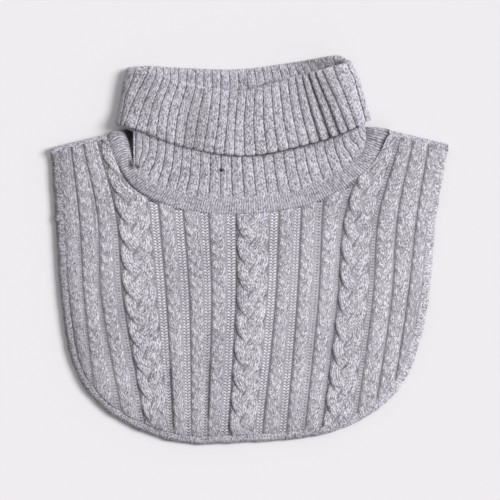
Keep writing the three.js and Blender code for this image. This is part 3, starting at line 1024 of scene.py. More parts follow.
def marl_group() -> bpy.types.NodeTree:
    """Builds the group that colours marl yarn, light and dark fibres spun together.

    Returns:
        A group whose Color has painted light and shade by stitch height, and the painted shade and the
        stain of the piece's mask.
    """
    tree = new_group(
        "Marl wool",
        {
            "Height": ("Float", 0.5),
            "Strand": ("Float", 0.5),
            "Fibre": ("Float", 0.5),
            "Painted shade and stain": ("Float", 0.0),
            "Contrast": ("Float", 0.5),
            "Spread": ("Float", 0.3),
            "Fleck": ("Float", 0.5),
            "Dark": ("Color", (0.1, 0.1, 0.1, 1)),
            "Light": ("Color", (0.6, 0.6, 0.6, 1)),
        },
        {"Color": "Color"},
    )
    source, sink = tree.nodes["Group Input"], tree.nodes["Group Output"]
    w = Wiring(tree)
    place = w.node("ShaderNodeTexCoord").outputs["Object"]
    flock = w.noise(place, FLOCK_SCALE, 0.0)
    drift = w.noise(place, DRIFT_SCALE, DRIFT_DETAIL)
    parts = (
        (source.outputs["Strand"], source.outputs["Spread"]),
        (source.outputs["Fibre"], source.outputs["Fleck"]),
        (flock, FLOCK_WEIGHT),
        (drift, DRIFT_WEIGHT),
    )
    lightness = EVEN
    for part, weight in parts:
        lightness = w.math("MULTIPLY_ADD", w.math("SUBTRACT", part, EVEN), weight, lightness)
    share = w.node("ShaderNodeMapRange", interpolation_type="SMOOTHSTEP")
    w.feed(share.inputs["Value"], lightness)
    marl = w.blend(share.outputs[0], source.outputs["Dark"], source.outputs["Light"])
    # Painted light on the stitches' crests and painted shade between them
    risen = w.math("SUBTRACT", source.outputs["Height"], LIT_HEIGHT)
    lit = w.math("MULTIPLY_ADD", risen, source.outputs["Contrast"], LIT_SHARE)
    # Painted shade from the piece's mask, and on the collar a real stain, darken the yarn
    hollow = w.math("MULTIPLY_ADD", source.outputs["Painted shade and stain"], -PAINTED_SHADE_SHARE, 1.0, clamp=True)
    shade = w.math("MULTIPLY", lit, hollow)
    shaded = w.node("ShaderNodeVectorMath", operation="SCALE")
    w.feed(shaded.inputs[0], marl)
    w.feed(shaded.inputs["Scale"], shade)
    w.feed(sink.inputs["Color"], shaded.outputs[0])
    return tree


@dataclass(frozen=True)
class KnitFinish:
    """Marl wool knit in one kind of stitch.

    The roughness is that of its hollows. The purl values hold in the gutters, and the relief is in metres.
    The contrasts set how much painted light and shade follow the stitches' height.
    """

    name: str
    dark: tuple[float, float, float] = (0.285, 0.267, 0.332)
    light: tuple[float, float, float] = (0.97, 0.93, 1.0)
    lean: float = 0.6
    split: float = 0.5
    rows: float = 0.5
    contrast: float = 0.4
    purl_contrast: float = 1.35
    spread: float = 0.08
    purl_spread: float = 0.03
    fleck: float = 0.82
    purl_fleck: float = 0.25
    fibres: float = 4.0
    strokes: float = 2.6
    relief: float = 0.0007
    roughness: float = 0.95
    sheen: float = 0.25
    sheen_roughness: float = 0.5
    specular: float = 0.2
    roundness: float = 0.08
    fuzz: float = 0.3
    bump: float = 0.8

    def material(self, stitches: bpy.types.NodeTree, marl: bpy.types.NodeTree) -> bpy.types.Material:
        """Builds the material.

        Args:
            stitches: the group that draws the stitches.
            marl: the group that colours the yarn.

        Returns:
            The material, which reads the piece's UV map "stitches" and its masks.
        """
        material = bpy.data.materials.new(self.name)
        material.use_nodes = True
        tree = material.node_tree
        w = Wiring(tree)
        shader = tree.nodes["Principled BSDF"]
        shader.inputs["Sheen Weight"].default_value = self.sheen
        shader.inputs["Sheen Roughness"].default_value = self.sheen_roughness
        shader.inputs["Specular IOR Level"].default_value = self.specular
        counts = w.node("ShaderNodeUVMap", uv_map="stitches").outputs[0]
        purl = w.node("ShaderNodeAttribute", attribute_name="purl").outputs["Fac"]
        # The piece's mask of painted shade, with a real stain on the collar
        painted_shade_and_stain = w.node("ShaderNodeAttribute", attribute_name="painted_shade_and_stain").outputs["Fac"]
        drawn = w.node("ShaderNodeGroup", node_tree=stitches)
        w.feed(drawn.inputs["Stitches"], counts)
        w.feed(drawn.inputs["Purl"], purl)
        for name in ("lean", "split", "rows", "fibres", "strokes"):
            w.feed(drawn.inputs[name.capitalize()], getattr(self, name))
        colour = w.node("ShaderNodeGroup", node_tree=marl)
        for name in ("Height", "Strand", "Fibre"):
            w.feed(colour.inputs[name], drawn.outputs[name])
        w.feed(colour.inputs["Painted shade and stain"], painted_shade_and_stain)
        # How much painted light and shade follow the stitches' height, in knit and in purl
        w.feed(colour.inputs["Contrast"], w.blend(purl, self.contrast, self.purl_contrast))
        w.feed(colour.inputs["Spread"], w.blend(purl, self.spread, self.purl_spread))
        w.feed(colour.inputs["Fleck"], w.blend(purl, self.fleck, self.purl_fleck))
        w.feed(colour.inputs["Dark"], (*self.dark, 1.0))
        w.feed(colour.inputs["Light"], (*self.light, 1.0))
        w.feed(shader.inputs["Base Color"], colour.outputs["Color"])
        rough = w.math("MULTIPLY_ADD", drawn.outputs["Height"], -self.roundness, self.roughness)
        w.feed(shader.inputs["Roughness"], rough)
        fuzz = w.math("MULTIPLY_ADD", drawn.outputs["Fibre"], self.fuzz, drawn.outputs["Height"])
        bump = w.node("ShaderNodeBump")
        bump.inputs["Strength"].default_value = self.bump
        bump.inputs["Distance"].default_value = self.relief
        w.feed(bump.inputs["Height"], fuzz)
        w.feed(shader.inputs["Normal"], bump.outputs[0])
        return material


PLAIN_WOOL = KnitFinish("plain rib wool")
EDGE_WOOL = KnitFinish(
    "linked edge wool",
    dark=(0.19, 0.177, 0.223),
    light=(0.85, 0.816, 0.89),
    fleck=0.75,
    relief=0.0004,
)
CABLE_WOOL = KnitFinish(
    "cable knit wool",
    dark=(0.19, 0.177, 0.223),
    light=(0.905, 0.868, 0.942),
    split=0.9,
    rows=0.2,
    contrast=0.8,
    purl_contrast=1.7,
    spread=0.04,
    fleck=0.72,
    fibres=2.0,
    strokes=2.3,
    relief=0.00025,
)
RIB_WOOL = KnitFinish(
    "rib knit wool",
    dark=(0.2, 0.189, 0.223),
    light=(0.81, 0.78, 0.865),
    split=0.7,
    rows=0.3,
    contrast=0.5,
    spread=0.04,
    fleck=0.8,
    fibres=2.0,
    relief=0.0002,
)
JERSEY_WOOL = KnitFinish(
    "jersey wool",
    dark=(0.18, 0.17, 0.203),
    light=(0.7, 0.67, 0.75),
    lean=0.4,
    split=0.9,
    rows=0.2,
    contrast=1.2,
    fleck=0.6,
    fibres=3.0,
    strokes=2.2,
    relief=0.00025,
)


# The sub-assemblies

# Painted shade at the plaits' crossings, where two strands lie at nearly the same height
CREASE_REACH = 0.07  # how much lower a strand may be and still share a crease, as a share of its thickness
NOWHERE = -1e3  # a height below any strand
STRANDS = 3  # in each plait
STRAND_BEND = 3  # how flat a strand is across
STRAND_STRIDE = 4  # strand widths between two strands' counts of stitches, so that no two look alike
STRAND_SHIFT = 7  # rows of stitches between them
LEAN_TURN = 0.3  # the lean, to either side, within which a strand's crease changes sides
SIDE_TURN = 0.2  # the share of a strand's width within which it does
COLUMN_STRIDE = 40  # stitches between two columns' counts
WIDE_GUTTER = 20.5  # where a gutter's count starts after its column's, when it has more stitches than one
NARROW_GUTTER = 20.0  # the same when it has one


@dataclass(frozen=True)
class Plait:
    """A plait of three strands that cross in front from both sides.

    Lengths are in mm. The lobe is the height of one crossing, the swing how far a strand's middle goes
    from the plait's, and the rise how far a strand stands over the one that it crosses.
    Painted shade darkens the strands' borders, most on their left sides and at the notches, and their
    crossings.
    """

    lobe: float
    swing: float
    strand: float
    rise: float
    thick: float
    wales: float
    far_painted_shade: float = 0.2
    notch_painted_shade: float = 0.7
    crease_width: float = 1.6
    crease_core: float = 0.3
    crease_rim: float = 1.3
    between_wale: float = 2.0

    def relief(self, across: np.ndarray, down: np.ndarray, scale: np.ndarray) -> tuple[np.ndarray, ...]:
        """The plait's surface.

        Args:
            across: distance right of the plait's middle.
            down: distance down the plait.
            scale: how much wider than its own size the plait is there.

        Returns:
            Height over its foot, the stitch counts across and down, and the painted shade where strands meet.
        """
        best = np.full(np.shape(across), NOWHERE)
        second = best.copy()
        slope, line = np.zeros_like(best), np.zeros_like(best)
        wales, courses = across / self.between_wale, down / COURSE
        pitch = TURN / (STRANDS * self.lobe)
        steep = (self.swing * scale * pitch) ** 2
        for strand in range(STRANDS):
            theta = pitch * (down + strand * self.lobe) + math.pi
            middle = self.swing * scale * np.cos(theta)
            lean = -self.swing * scale * np.sin(theta) * pitch
            length = down * (1 + steep / 4) - steep * np.sin(2 * theta) / (8 * pitch)
            upright = 1 / np.sqrt(1 + lean * lean)
            off = (across - middle) * upright / (self.strand * np.sqrt(scale))
            body = np.sqrt(np.maximum(1 - np.abs(off) ** STRAND_BEND, 0))
            height = self.thick * body + self.rise * np.sin(2 * theta) * np.minimum(1, 2 * body)
            height = np.where(np.abs(off) < 1, height, NOWHERE)
            is_top = height > best
            second = np.maximum(np.minimum(height, best), second)
            best = np.where(is_top, height, best)
            wales = np.where(is_top, self.wales * (off / 2 + 0.5 + STRAND_STRIDE * strand), wales)
            courses = np.where(is_top, length / COURSE + STRAND_SHIFT * strand, courses)
            slope = np.where(is_top, lean, slope)
            # Painted shade along the top strand's border, most on its left side and at the notch
            inwards = (1 - np.abs(off)) * self.strand * np.sqrt(scale)
            core, rim = self.crease_core * self.crease_width, self.crease_rim * self.crease_width
            border = 1 - ease(inwards, core, rim)
            left_side = ease(-off, -SIDE_TURN, SIDE_TURN)
            near_side = ease(lean, -LEAN_TURN, LEAN_TURN) * left_side
            near_side = np.maximum(near_side, self.notch_painted_shade * left_side)
            line = np.where(is_top, border * mix(self.far_painted_shade, 1, near_side), line)
        # Painted shade where two strands cross at nearly the same height
        near = np.exp(-np.maximum(best - second, 0) / (CREASE_REACH * self.thick))
        near = near * mix(self.far_painted_shade, 1, ease(slope, -LEAN_TURN, LEAN_TURN))
        return np.maximum(best, 0), wales, courses, np.maximum(near, line)


WIDE_PLAIT = Plait(lobe=22.5, swing=7.8, strand=6.2, rise=0.9, thick=1.7, wales=6)
NARROW_PLAIT = Plait(lobe=11.25, swing=3.0, strand=3.4, rise=0.3, thick=1.1, wales=3.5)


@dataclass
class FrontBib:
    """The cable-knit front: plaits with purl gutters between them, hanging over the back bib."""

    finish: bpy.types.Material
    plan: BibPlan = FRONT_PLAN
    rows: int = 260
    plait_step: float = 0.66
    rib_step: float = 1.15
    least_raised: int = 6
    least_sunk: int = 2
    gutter_height: float = 0.25
    left_flank: float = 0.6
    right_flank: float = 0.9
    # Painted shade: thin dark lines along the columns' borders, dotted along the rows, and in the narrow
    # plaits
    left_line: float = 0.9
    plait_line: float = 0.55
    line_width: float = 0.8
    left_fill: float = 0.5
    fill: float = 0.85
    fill_reach: float = 0.5
    twist_painted_shade: float = 0.5
    twist_phase: float = 0.37
    closing: float = 14.0
    closed_height: float = 0.9
    # Painted shade over the hem and along the left side, which are turned away from the light
    hem_shade: float = 0.4
    hem_reach: float = 15.0
    side_shade: float = 0.38
    side_reach: float = 8.0
    lit_from: float = 30.0
    lit_to: float = 70.0
    dotted: float = 0.25
    phases: dict[int, float] = field(default_factory=lambda: {3: -14.4, 7: -6.3, 11: -6.3})
    under_columns: int = 60
    under_rows: int = 50

    def lines(self) -> list[tuple[int, float]]:
        """The grid's lines across: each is a column's number and the share of its width.

        Returns:
            The lines from left to right.
        """
        found = []
        for number, (column, right) in enumerate(zip(COLUMNS, COLUMNS[1:])):
            width = right.chest - column.chest
            step = self.plait_step if column.stitch is Stitch.PLAIT else self.rib_step
            raised = max(round(width * column.share / step), self.least_raised)
            found += [(number, column.share * k / raised) for k in range(raised)]
            if column.share < 1:
                sunk = max(round(width * (1 - column.share) / self.rib_step), self.least_sunk)
                found += [(number, mix(column.share, 1, k / sunk)) for k in range(sunk)]
        return [*found, (len(COLUMNS) - 2, 1.0)]

    def relief(self, number: int, share: float, y: np.ndarray, width: np.ndarray) -> tuple[np.ndarray, ...]:
        """The relief along one line of the grid.

        Args:
            number: the column's number.
            share: the line's place across the column, from 0 to 1.
            y: the line's heights.
            width: the column's width at each of them.

        Returns:
            Height over the gutters, the stitch counts across and down, whether it is purl, and the painted
            shade.
        """
        column = COLUMNS[number]
        down = ROWS_FROM - y
        plait = WIDE_PLAIT if column.stitch is Stitch.PLAIT else NARROW_PLAIT
        own = 2 * (plait.swing + plait.strand)
        raised = width * column.share
        across = (share / column.share - 0.5) * raised
        if column.stitch is Stitch.TWIST:
            phase = self.twist_phase * number * plait.lobe
        else:
            phase = self.phases[number]
        if share <= column.share:
            height, wales, courses, near = plait.relief(across, down + phase, raised / own)
            left, right = share / column.share, 1 - share / column.share
            filled = mix(self.left_fill, self.fill, ease(left, 0.0, self.fill_reach))
            flank = np.minimum(left * raised / self.left_flank, right * raised / self.right_flank)
            base = filled * plait.thick * np.clip(flank, 0, 1)
            # Painted shade in the plait's creases and along the column's borders
            near = near * (1.0 if column.stitch is Stitch.PLAIT else self.twist_painted_shade)
            near = np.maximum(near, self.painted_border_shade(number, share, down, width))
            wales = wales + COLUMN_STRIDE * number
            return np.maximum(height, base), wales, courses, np.zeros_like(y), near
        off = (share - column.share) * width
        sunk = width * (1 - column.share)
        count = np.maximum(np.round(sunk / PURL_WALE), 1)
        start = np.where(count > 1, WIDE_GUTTER, NARROW_GUTTER)
        wales = off / sunk * count + COLUMN_STRIDE * number + start
        closed = ease(y, column.open_below, column.open_below + self.closing)
        near = self.painted_border_shade(number, share, down, width)
        return closed * self.closed_height, wales, down / COURSE, 1 - closed, near

    def painted_border_shade(self, number: int, share: float, down: np.ndarray, width: np.ndarray) -> np.ndarray:
        """How dark the painted shade is in the thin lines along a column's borders.

        Args:
            number: the column's number.
            share: the line's place across the column, from 0 to 1.
            down: distance down the bib.
            width: the column's width there.

        Returns:
            A depth from 0 to 1 for each place.
        """
        dark = np.zeros_like(down)
        for border, off in ((number, share * width), (number + 1, (1 - share) * width)):
            if 0 < border < len(COLUMNS) - 1:
                depth = self.left_line if COLUMNS[border].stitch is Stitch.TWIST else self.plait_line
                dark = np.maximum(dark, depth * np.exp(-((off / self.line_width) ** 2)))
        return dark * (1 - self.dotted + self.dotted * np.cos(TURN * down / COURSE))

    def build(self) -> bpy.types.Object:
        """Knits the front and closes it with its underside.

        Returns:
            The front bib's piece.
        """
        lines = self.lines()
        fields = {name: [] for name in ("x", "y", "height", "wales", "courses", "purl", "near")}
        for number, share in lines:
            left, right = COLUMNS[number], COLUMNS[number + 1]
            top, bottom = self.plan.span(lambda y: self.plan.line(left, right, share, y))
            y = np.linspace(top, bottom, self.rows + 1)
            x = self.plan.line(left, right, share, y)
            width = column_line(right, y) - column_line(left, y)
            for name, values in zip(fields, (x, y, *self.relief(number, share, y, width))):
                fields[name].append(values)
        x, y, height, wales, courses, purl, near = (np.array(f).T for f in fields.values())
        grid = KnitGrid("front_bib_knit", len(lines) - 1, self.rows)
        under = front_under(x, y)
        grid.place(x, y, under + JERSEY + self.gutter_height + height)
        grid.stitches(wales, courses)
        grid.mask("purl", purl)
        # Painted shade in the relief's hollows, the plaits, over the hem and left side and along the folds
        masks = [painted_hollow_shade(height), near, self.shade(x, y), *(fold.painted_shade_and_stain(x, y) for fold in PAINTED_FOLD_SHADES)]
        grid.mask("painted_shade_and_stain", np.clip(np.maximum.reduce(masks), 0, 1))
        below = self.underside(x, y, under)
        closed_up(grid.mesh, below.mesh)
        return as_piece(grid.mesh, self.finish, "cable_knit", "front_bib")

    def shade(self, x: np.ndarray, y: np.ndarray) -> np.ndarray:
        """How much painted shade darkens the knit over the hem and along the left side, away from the light.

        Args:
            x: the places across.
            y: the places up.

        Returns:
            A depth for each place.
        """
        over_hem = np.maximum(y - HEM.at(x)["y"], 0)
        from_side = x - column_line(COLUMNS[0], y)
        unlit = 1 - ease(x, self.lit_from, self.lit_to)
        along_hem = self.hem_shade * np.exp(-over_hem / self.hem_reach) * unlit
        return along_hem + self.side_shade * np.exp(-from_side / self.side_reach)

    def underside(self, x: np.ndarray, y: np.ndarray, under: np.ndarray) -> KnitGrid:
        """The underside, on some of the face's lines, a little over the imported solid's own.

        Args:
            x: the face's places across.
            y: its places up.
            under: the underside's heights.

        Returns:
            The underside's grid.
        """
        rows = np.rint(np.linspace(0, x.shape[0] - 1, self.under_rows + 1)).astype(int)
        columns = np.rint(np.linspace(0, x.shape[1] - 1, self.under_columns + 1)).astype(int)
        pick = np.ix_(rows, columns)
        below = KnitGrid("front_underside", self.under_columns, self.under_rows)
        below.place(x[pick], y[pick], under[pick])
        return below


# Painted shade in the hollows of a relief: the deeper below its surroundings, the darker
NEAR_REACH = 2  # grid steps that the narrow hollows are measured over
WIDE_REACH = 5  # the same for the wide ones
NEAR_PAINTED_SHADE = 0.2  # how dark a narrow hollow is for each mm of its depth
WIDE_PAINTED_SHADE = 0.04


def painted_hollow_shade(height: np.ndarray) -> np.ndarray:
    """Painted shade from how deep each point of a relief lies below its surroundings, from 0 to 1.

    Args:
        height: the relief as rows and columns, in mm.

    Returns:
        A field of the same shape.
    """
    near = softened(height, NEAR_REACH) - height
    wide = softened(height, WIDE_REACH) - height
    return np.clip(near * NEAR_PAINTED_SHADE + wide * WIDE_PAINTED_SHADE, 0, 1)


class Along(Enum):
    """The stretches of the collar's hairpin section."""

    WALL = "up or down the wall round the neck"
    FOLD = "over the fold at the mouth"
    CUFF = "down or up the turned-down cuff"


class SectionRow(NamedTuple):
    """One row of the collar's grid: its place along a stretch, its offset and its relief."""

    along: Along
    share: float
    offset: float
    relief: float


class Bunch(NamedTuple):
    """Where the ribs bunch, in ribs round the neck, and how much deeper their grooves are there."""

    middle: float
    reach: float
    extra: float


class Stretch(NamedTuple):
    """A run of the collar's section, with the number of grid rows in it."""

    along: Along
    start: float
    end: float
    start_offset: float
    end_offset: float
    start_relief: float
    end_relief: float
    rows: int


@dataclass
class Collar:
    """The rib tube round the neck, folded outwards at the mouth and turned down as a cuff.

    The sag lowers its free left end, and the drop its hem at the right. Places named from and to are
    where a change starts and ends: heights and distances in mm, or cosines of the angle round the neck.
    The grooves, the wall under the hem, the mouth and its right corner, the crevice at the left, soft dips
    of the cuff and its left end get painted shade; the stain is a real one.
    """

    finish: bpy.types.Material
    ribs: int = 54
    lines_per_rib: int = 10
    rib_height: float = 1.0
    rib_bend: float = 3.2
    rib_fullness: float = 0.75
    wales_per_rib: float = 4.0
    bunch: Bunch = Bunch(4.7, 2.6, 1.1)
    wall_bunched: float = 0.2
    swells: tuple[Spot, ...] = (
        Spot(-24, 112, 16, 34, 1.6),
        Spot(-52, 118, 20, 30, -0.9),
        Spot(68, 130, 14, 30, 0.9),
    )
    swell_facing: float = 0.5
    scallop: float = 1.0
    scallop_middle: float = 0.6
    scallop_from: float = 0.9
    # Painted shade in the grooves between the ribs
    groove_width: float = 2.0
    groove_gain: float = 1.2
    # Painted shadow of the cuff's hem on the wall below it
    hem_shadow: float = 1.6
    stain: Spot = Spot(-25.6, 71.0, 2.6, 1.6, 1.3)
    # Painted shadow at the end of the crevice where the wall meets the band on the left
    painted_hook_shadow: Spot = Spot(-102.4, 74.0, 4.6, 1.7, 1.3)
    # Painted shade in soft dips of the cuff
    painted_shade_zones: tuple[Spot, ...] = (Spot(-49, 112, 14, 26, 0.34), Spot(66, 142, 20, 24, 0.34))
    fold_shift: float = -0.8
    fold_narrowing: float = 2.2
    fold_reach: float = 0.25
    # Painted shade inside the mouth, most at its right corner
    corner: Spot = Spot(79, 167.5, 5.5, 2.6, 1.0)
    mouth_shade: Spot = Spot(66, 167, 22, 7, 0.6)
    sag: float = 0.35
    sag_from: float = 78.0
    sag_to: float = 116.0
    sag_foot: float = 110.0
    sag_top: float = 128.0
    drop: float = 3.5
    drop_from: float = 0.94
    drop_to: float = 0.99
    # Painted shade on the cuff's left end, turned from the light
    side_shade: float = 0.4
    side_from: float = 106.0
    side_to: float = 114.0
    least_turn: float = 0.11
    end_ribs: int = 3
    wall_left: float = -104.6
    wall_right: float = 98.6
    wall_right_foot: float = 104.5
    foot_share: float = 0.4
    stretches: tuple[Stretch, ...] = (
        Stretch(Along.WALL, 0, 0.5, 0, 0, 0, 0, 6),
        Stretch(Along.WALL, 0.5, 1, 0, 0, -0.3, -0.9, 26),
        Stretch(Along.FOLD, 0, 1, 0, 0, -0.9, 1, 14),
        Stretch(Along.CUFF, 0, 0.97, CUFF_OUTSIDE, CUFF_OUTSIDE, 1, 1, 54),
        Stretch(Along.CUFF, 0.97, 1, CUFF_OUTSIDE, CUFF_OUTSIDE - HEM_TURN, 1, 0.7, 3),
        Stretch(Along.CUFF, 1, 0.985, CUFF_OUTSIDE - HEM_TURN, CUFF_INSIDE, 0.7, 0, 3),
        Stretch(Along.CUFF, 0.985, 0, CUFF_INSIDE, CUFF_INSIDE, 0, 0, 6),
        Stretch(Along.WALL, 1, 0.6, KNIT, KNIT, 0, 0.2, 4),
        Stretch(Along.WALL, 0.6, 0.07, KNIT, KNIT, 0.9, 0.9, 38),
        Stretch(Along.WALL, 0.07, 0, KNIT, KNIT - SEAM_TURN, 0.9, 0.1, 8),
        Stretch(Along.WALL, 0, 0, KNIT - SEAM_TURN, 0, 0.1, 0, 2),
    )

    def section(self) -> list[SectionRow]:
        """Lays out the grid's rows along the hairpin section.

        Returns:
            The rows, of which the last is the first again.
        """
        rows = []
        for s in self.stretches:
            for k in range(s.rows):
                t = k / s.rows
                share = mix(s.start, s.end, t)
                offset = mix(s.start_offset, s.end_offset, t)
                relief = mix(s.start_relief, s.end_relief, t)
                rows.append(SectionRow(s.along, share, offset, relief))
        return [*rows, rows[0]]

    def swell(self, x: np.ndarray, y: np.ndarray) -> np.ndarray:
        """How far the cuff's soft waves lift it at some places.

        Args:
            x: the places across.
            y: the places up.

        Returns:
            The lift at each place.
        """
        return sum(spot.at(x, y) for spot in self.swells)

    def angles(self, along: Along, share: float, lens: dict[str, Field], groove: np.ndarray) -> np.ndarray:
        """The angles round the neck at which places counted in ribs lie, at one height.

        Args:
            along: the row's stretch.
            share: the row's share along it.
            lens: the hollow's section at that height.
            groove: places round the neck, counted in ribs from the right side over the front.

        Returns:
            Their angles in radians.
        """
        table = CUFF_GROOVES if along is Along.CUFF else WALL_GROOVES
        height = 1.0 if along is Along.FOLD else share
        x = np.array(list(table.at(height).values()))[1:]
        half = self.ribs / 2
        number = np.array(GROOVES, float)
        turned = np.arccos(np.clip((x - lens["centre"]) / lens["half_width"], -1, 1))
        from_right = np.minimum(number, self.end_ribs)
        from_left = np.minimum(half - number, self.end_ribs)
        turned = np.clip(turned, self.least_turn * from_right, math.pi - self.least_turn * from_left)
        lines = Table("groove angle", [(0, 0), *zip(number, turned), (half, math.pi)])
        front = lines.at(np.minimum(groove, self.ribs - groove))["angle"]
        return np.where(groove <= half, front, TURN - front)

    def row_points(self, row: SectionRow, groove: np.ndarray, rib: np.ndarray) -> tuple[np.ndarray, ...]:
        """The points of one grid row.

        Args:
            row: the row's place in the section.
            groove: places round the neck, counted in ribs.
            rib: the ribs' profile there.

        Returns:
            x, y and z.
        """
        along, share, offset, relief = row
        height = rib * self.rib_height * relief
        if along is Along.WALL:
            levels = WALL_LEVELS.at(share)
        else:
            levels = CUFF_LEVELS.at(share if along is Along.CUFF else 0.0)
            at_fold = 1 - ease(np.array(share), 0, self.fold_reach) if along is Along.CUFF else 1.0
            levels["centre"] = levels["centre"] + self.fold_shift * at_fold
            levels["half_width"] = levels["half_width"] - self.fold_narrowing * at_fold
        angle = self.angles(along, share, levels, groove)
        neck = neck_lines(angle)
        top = neck["fold"] - FOLD_RADIUS
        x, z, nx, nz = lens_point(angle, levels)
        if along is Along.FOLD:
            radius = FOLD_RADIUS + height
            out = CUFF_OUTSIDE / 2 - radius * math.cos(math.pi * share)
            x, y = x + nx * out, top + radius * math.sin(math.pi * share)
            return x, y, self.sagged(x, y, z + nz * out)
        out = offset + height
        x = x + nx * out
        if along is Along.CUFF:
            hem = neck["hem"] - self.drop * ease(np.cos(angle), self.drop_from, self.drop_to)
            waved = self.scallop * (rib - self.scallop_middle)
            y = mix(top, hem, share) - waved * ease(np.array(share), self.scallop_from, 1)
            lifted = self.swell(x, y) * ease(np.sin(angle), 0.0, self.swell_facing)
            return x, y, self.sagged(x, y, z + nz * out + lifted)
        inwards = KNIT - offset
        right = mix(self.wall_right_foot, self.wall_right, min(share / self.foot_share, 1))
        x = np.clip(x, self.wall_left + inwards, right - inwards)
        y = mix(neck["seam"], top, share)
        return x, y, self.sagged(x, y, z + nz * out)

    def sagged(self, x: np.ndarray, y: np.ndarray, z: np.ndarray) -> np.ndarray:
        """The heights of some places once the collar's free left end has sunk towards the table.

        Args:
            x: the places across.
            y: the places up.
            z: their heights before.

        Returns:
            Their heights, none of them under the table.
        """
        sunk = self.sag * ease(-x, self.sag_from, self.sag_to) * ease(y, self.sag_foot, self.sag_top)
        return np.maximum(z * (1 - sunk), RESTING)

    def build(self) -> bpy.types.Object:
        """Knits the collar as one closed hairpin shell.

        Returns:
            The collar's piece.
        """
        count = self.ribs * self.lines_per_rib
        share = np.linspace(0, 1, count + 1)
        rib = rib_profile(share * self.ribs, self.rib_bend, self.rib_fullness)
        rows = self.section()
        deep = self.depths(rows, share)
        points = [self.row_points(row, share * self.ribs, rib * d + 1 - d) for row, d in zip(rows, deep)]
        x, y, z = (np.array([p[k] for p in points]) for k in range(3))
        steps = np.sqrt(np.diff(x, axis=0) ** 2 + np.diff(y, axis=0) ** 2 + np.diff(z, axis=0) ** 2)
        length = np.concatenate([np.zeros((1, count + 1)), np.cumsum(steps, axis=0)])
        grid = KnitGrid("collar_knit", count, len(rows) - 1)
        grid.place(x, y, z)
        wales = np.broadcast_to(share * self.ribs * self.wales_per_rib, x.shape)
        grid.stitches(wales, length / COURSE)
        grid.mask("purl", np.zeros_like(x))
        # Painted shade in the grooves between the ribs, deeper where they bunch, and the collar's other
        # painted shade and real stain
        relief = np.array([abs(row.relief) for row in rows])[:, None]
        groove = np.clip(deep - rib * self.groove_width, 0, 1) * np.minimum(relief * self.groove_gain, 1)
        grid.mask("painted_shade_and_stain", np.maximum(groove, self.shades(rows, share * self.ribs, x, y)))
        closed_up(grid.mesh)
        return as_piece(grid.mesh, self.finish, "rib_knit", "collar")

    def depths(self, rows: list[SectionRow], share: np.ndarray) -> np.ndarray:
        """How deep the grooves between the ribs are.

        Args:
            rows: the grid's rows.
            share: places round the neck, from 0 to 1.

        Returns:
            A factor for each row and place.
        """
        extras = [self.wall_bunched if row.along is Along.WALL else self.bunch.extra for row in rows]
        off = (share * self.ribs - self.bunch.middle) / self.bunch.reach
        return 1 + np.array(extras)[:, None] * np.exp(-(off**2))

    def shades(self, rows: list[SectionRow], groove: np.ndarray, x: np.ndarray, y: np.ndarray) -> np.ndarray:
        """How dark the collar's painted shade in its hollows and shaded places is, and its real stain.

        Args:
            rows: the grid's rows.
            groove: places round the neck, counted in ribs.
            x: the grid's places across.
            y: the grid's places up.

        Returns:
            A depth for each vertex.
        """
        is_wall = np.array([row.along is Along.WALL and row.offset > KNIT / 2 for row in rows])[:, None]
        is_cuff = np.array([row.along is Along.CUFF and row.offset > CUFF_INSIDE for row in rows])[:, None]
        is_back = (groove > self.ribs / 2)[None, :]
        hem_angles = self.angles(Along.CUFF, 1.0, CUFF_LEVELS.at(1.0), groove)
        under_hem = np.maximum(neck_lines(hem_angles)["hem"] - y, 0)
        zones = sum(spot.at(x, y) for spot in self.painted_shade_zones)
        side = self.side_shade * ease(-x, self.side_from, self.side_to)
        # Painted shadow under the hem and painted shade in the mouth, its corner, the crevice and the cuff;
        # the stain is real
        masks = [
            np.where(is_wall, np.exp(-under_hem / self.hem_shadow), 0),
            np.where(is_back, self.mouth_shade.at(x, y), 0),
            np.where(is_back, self.corner.at(x, y), 0),
            np.where(is_wall & ~is_back, self.stain.crisp_at(x, y), 0),
            np.where(is_wall & ~is_back, self.painted_hook_shadow.at(x, y), 0),
            np.where(is_cuff & ~is_back, np.maximum(zones, side), 0),
        ]
        return np.maximum.reduce(masks)


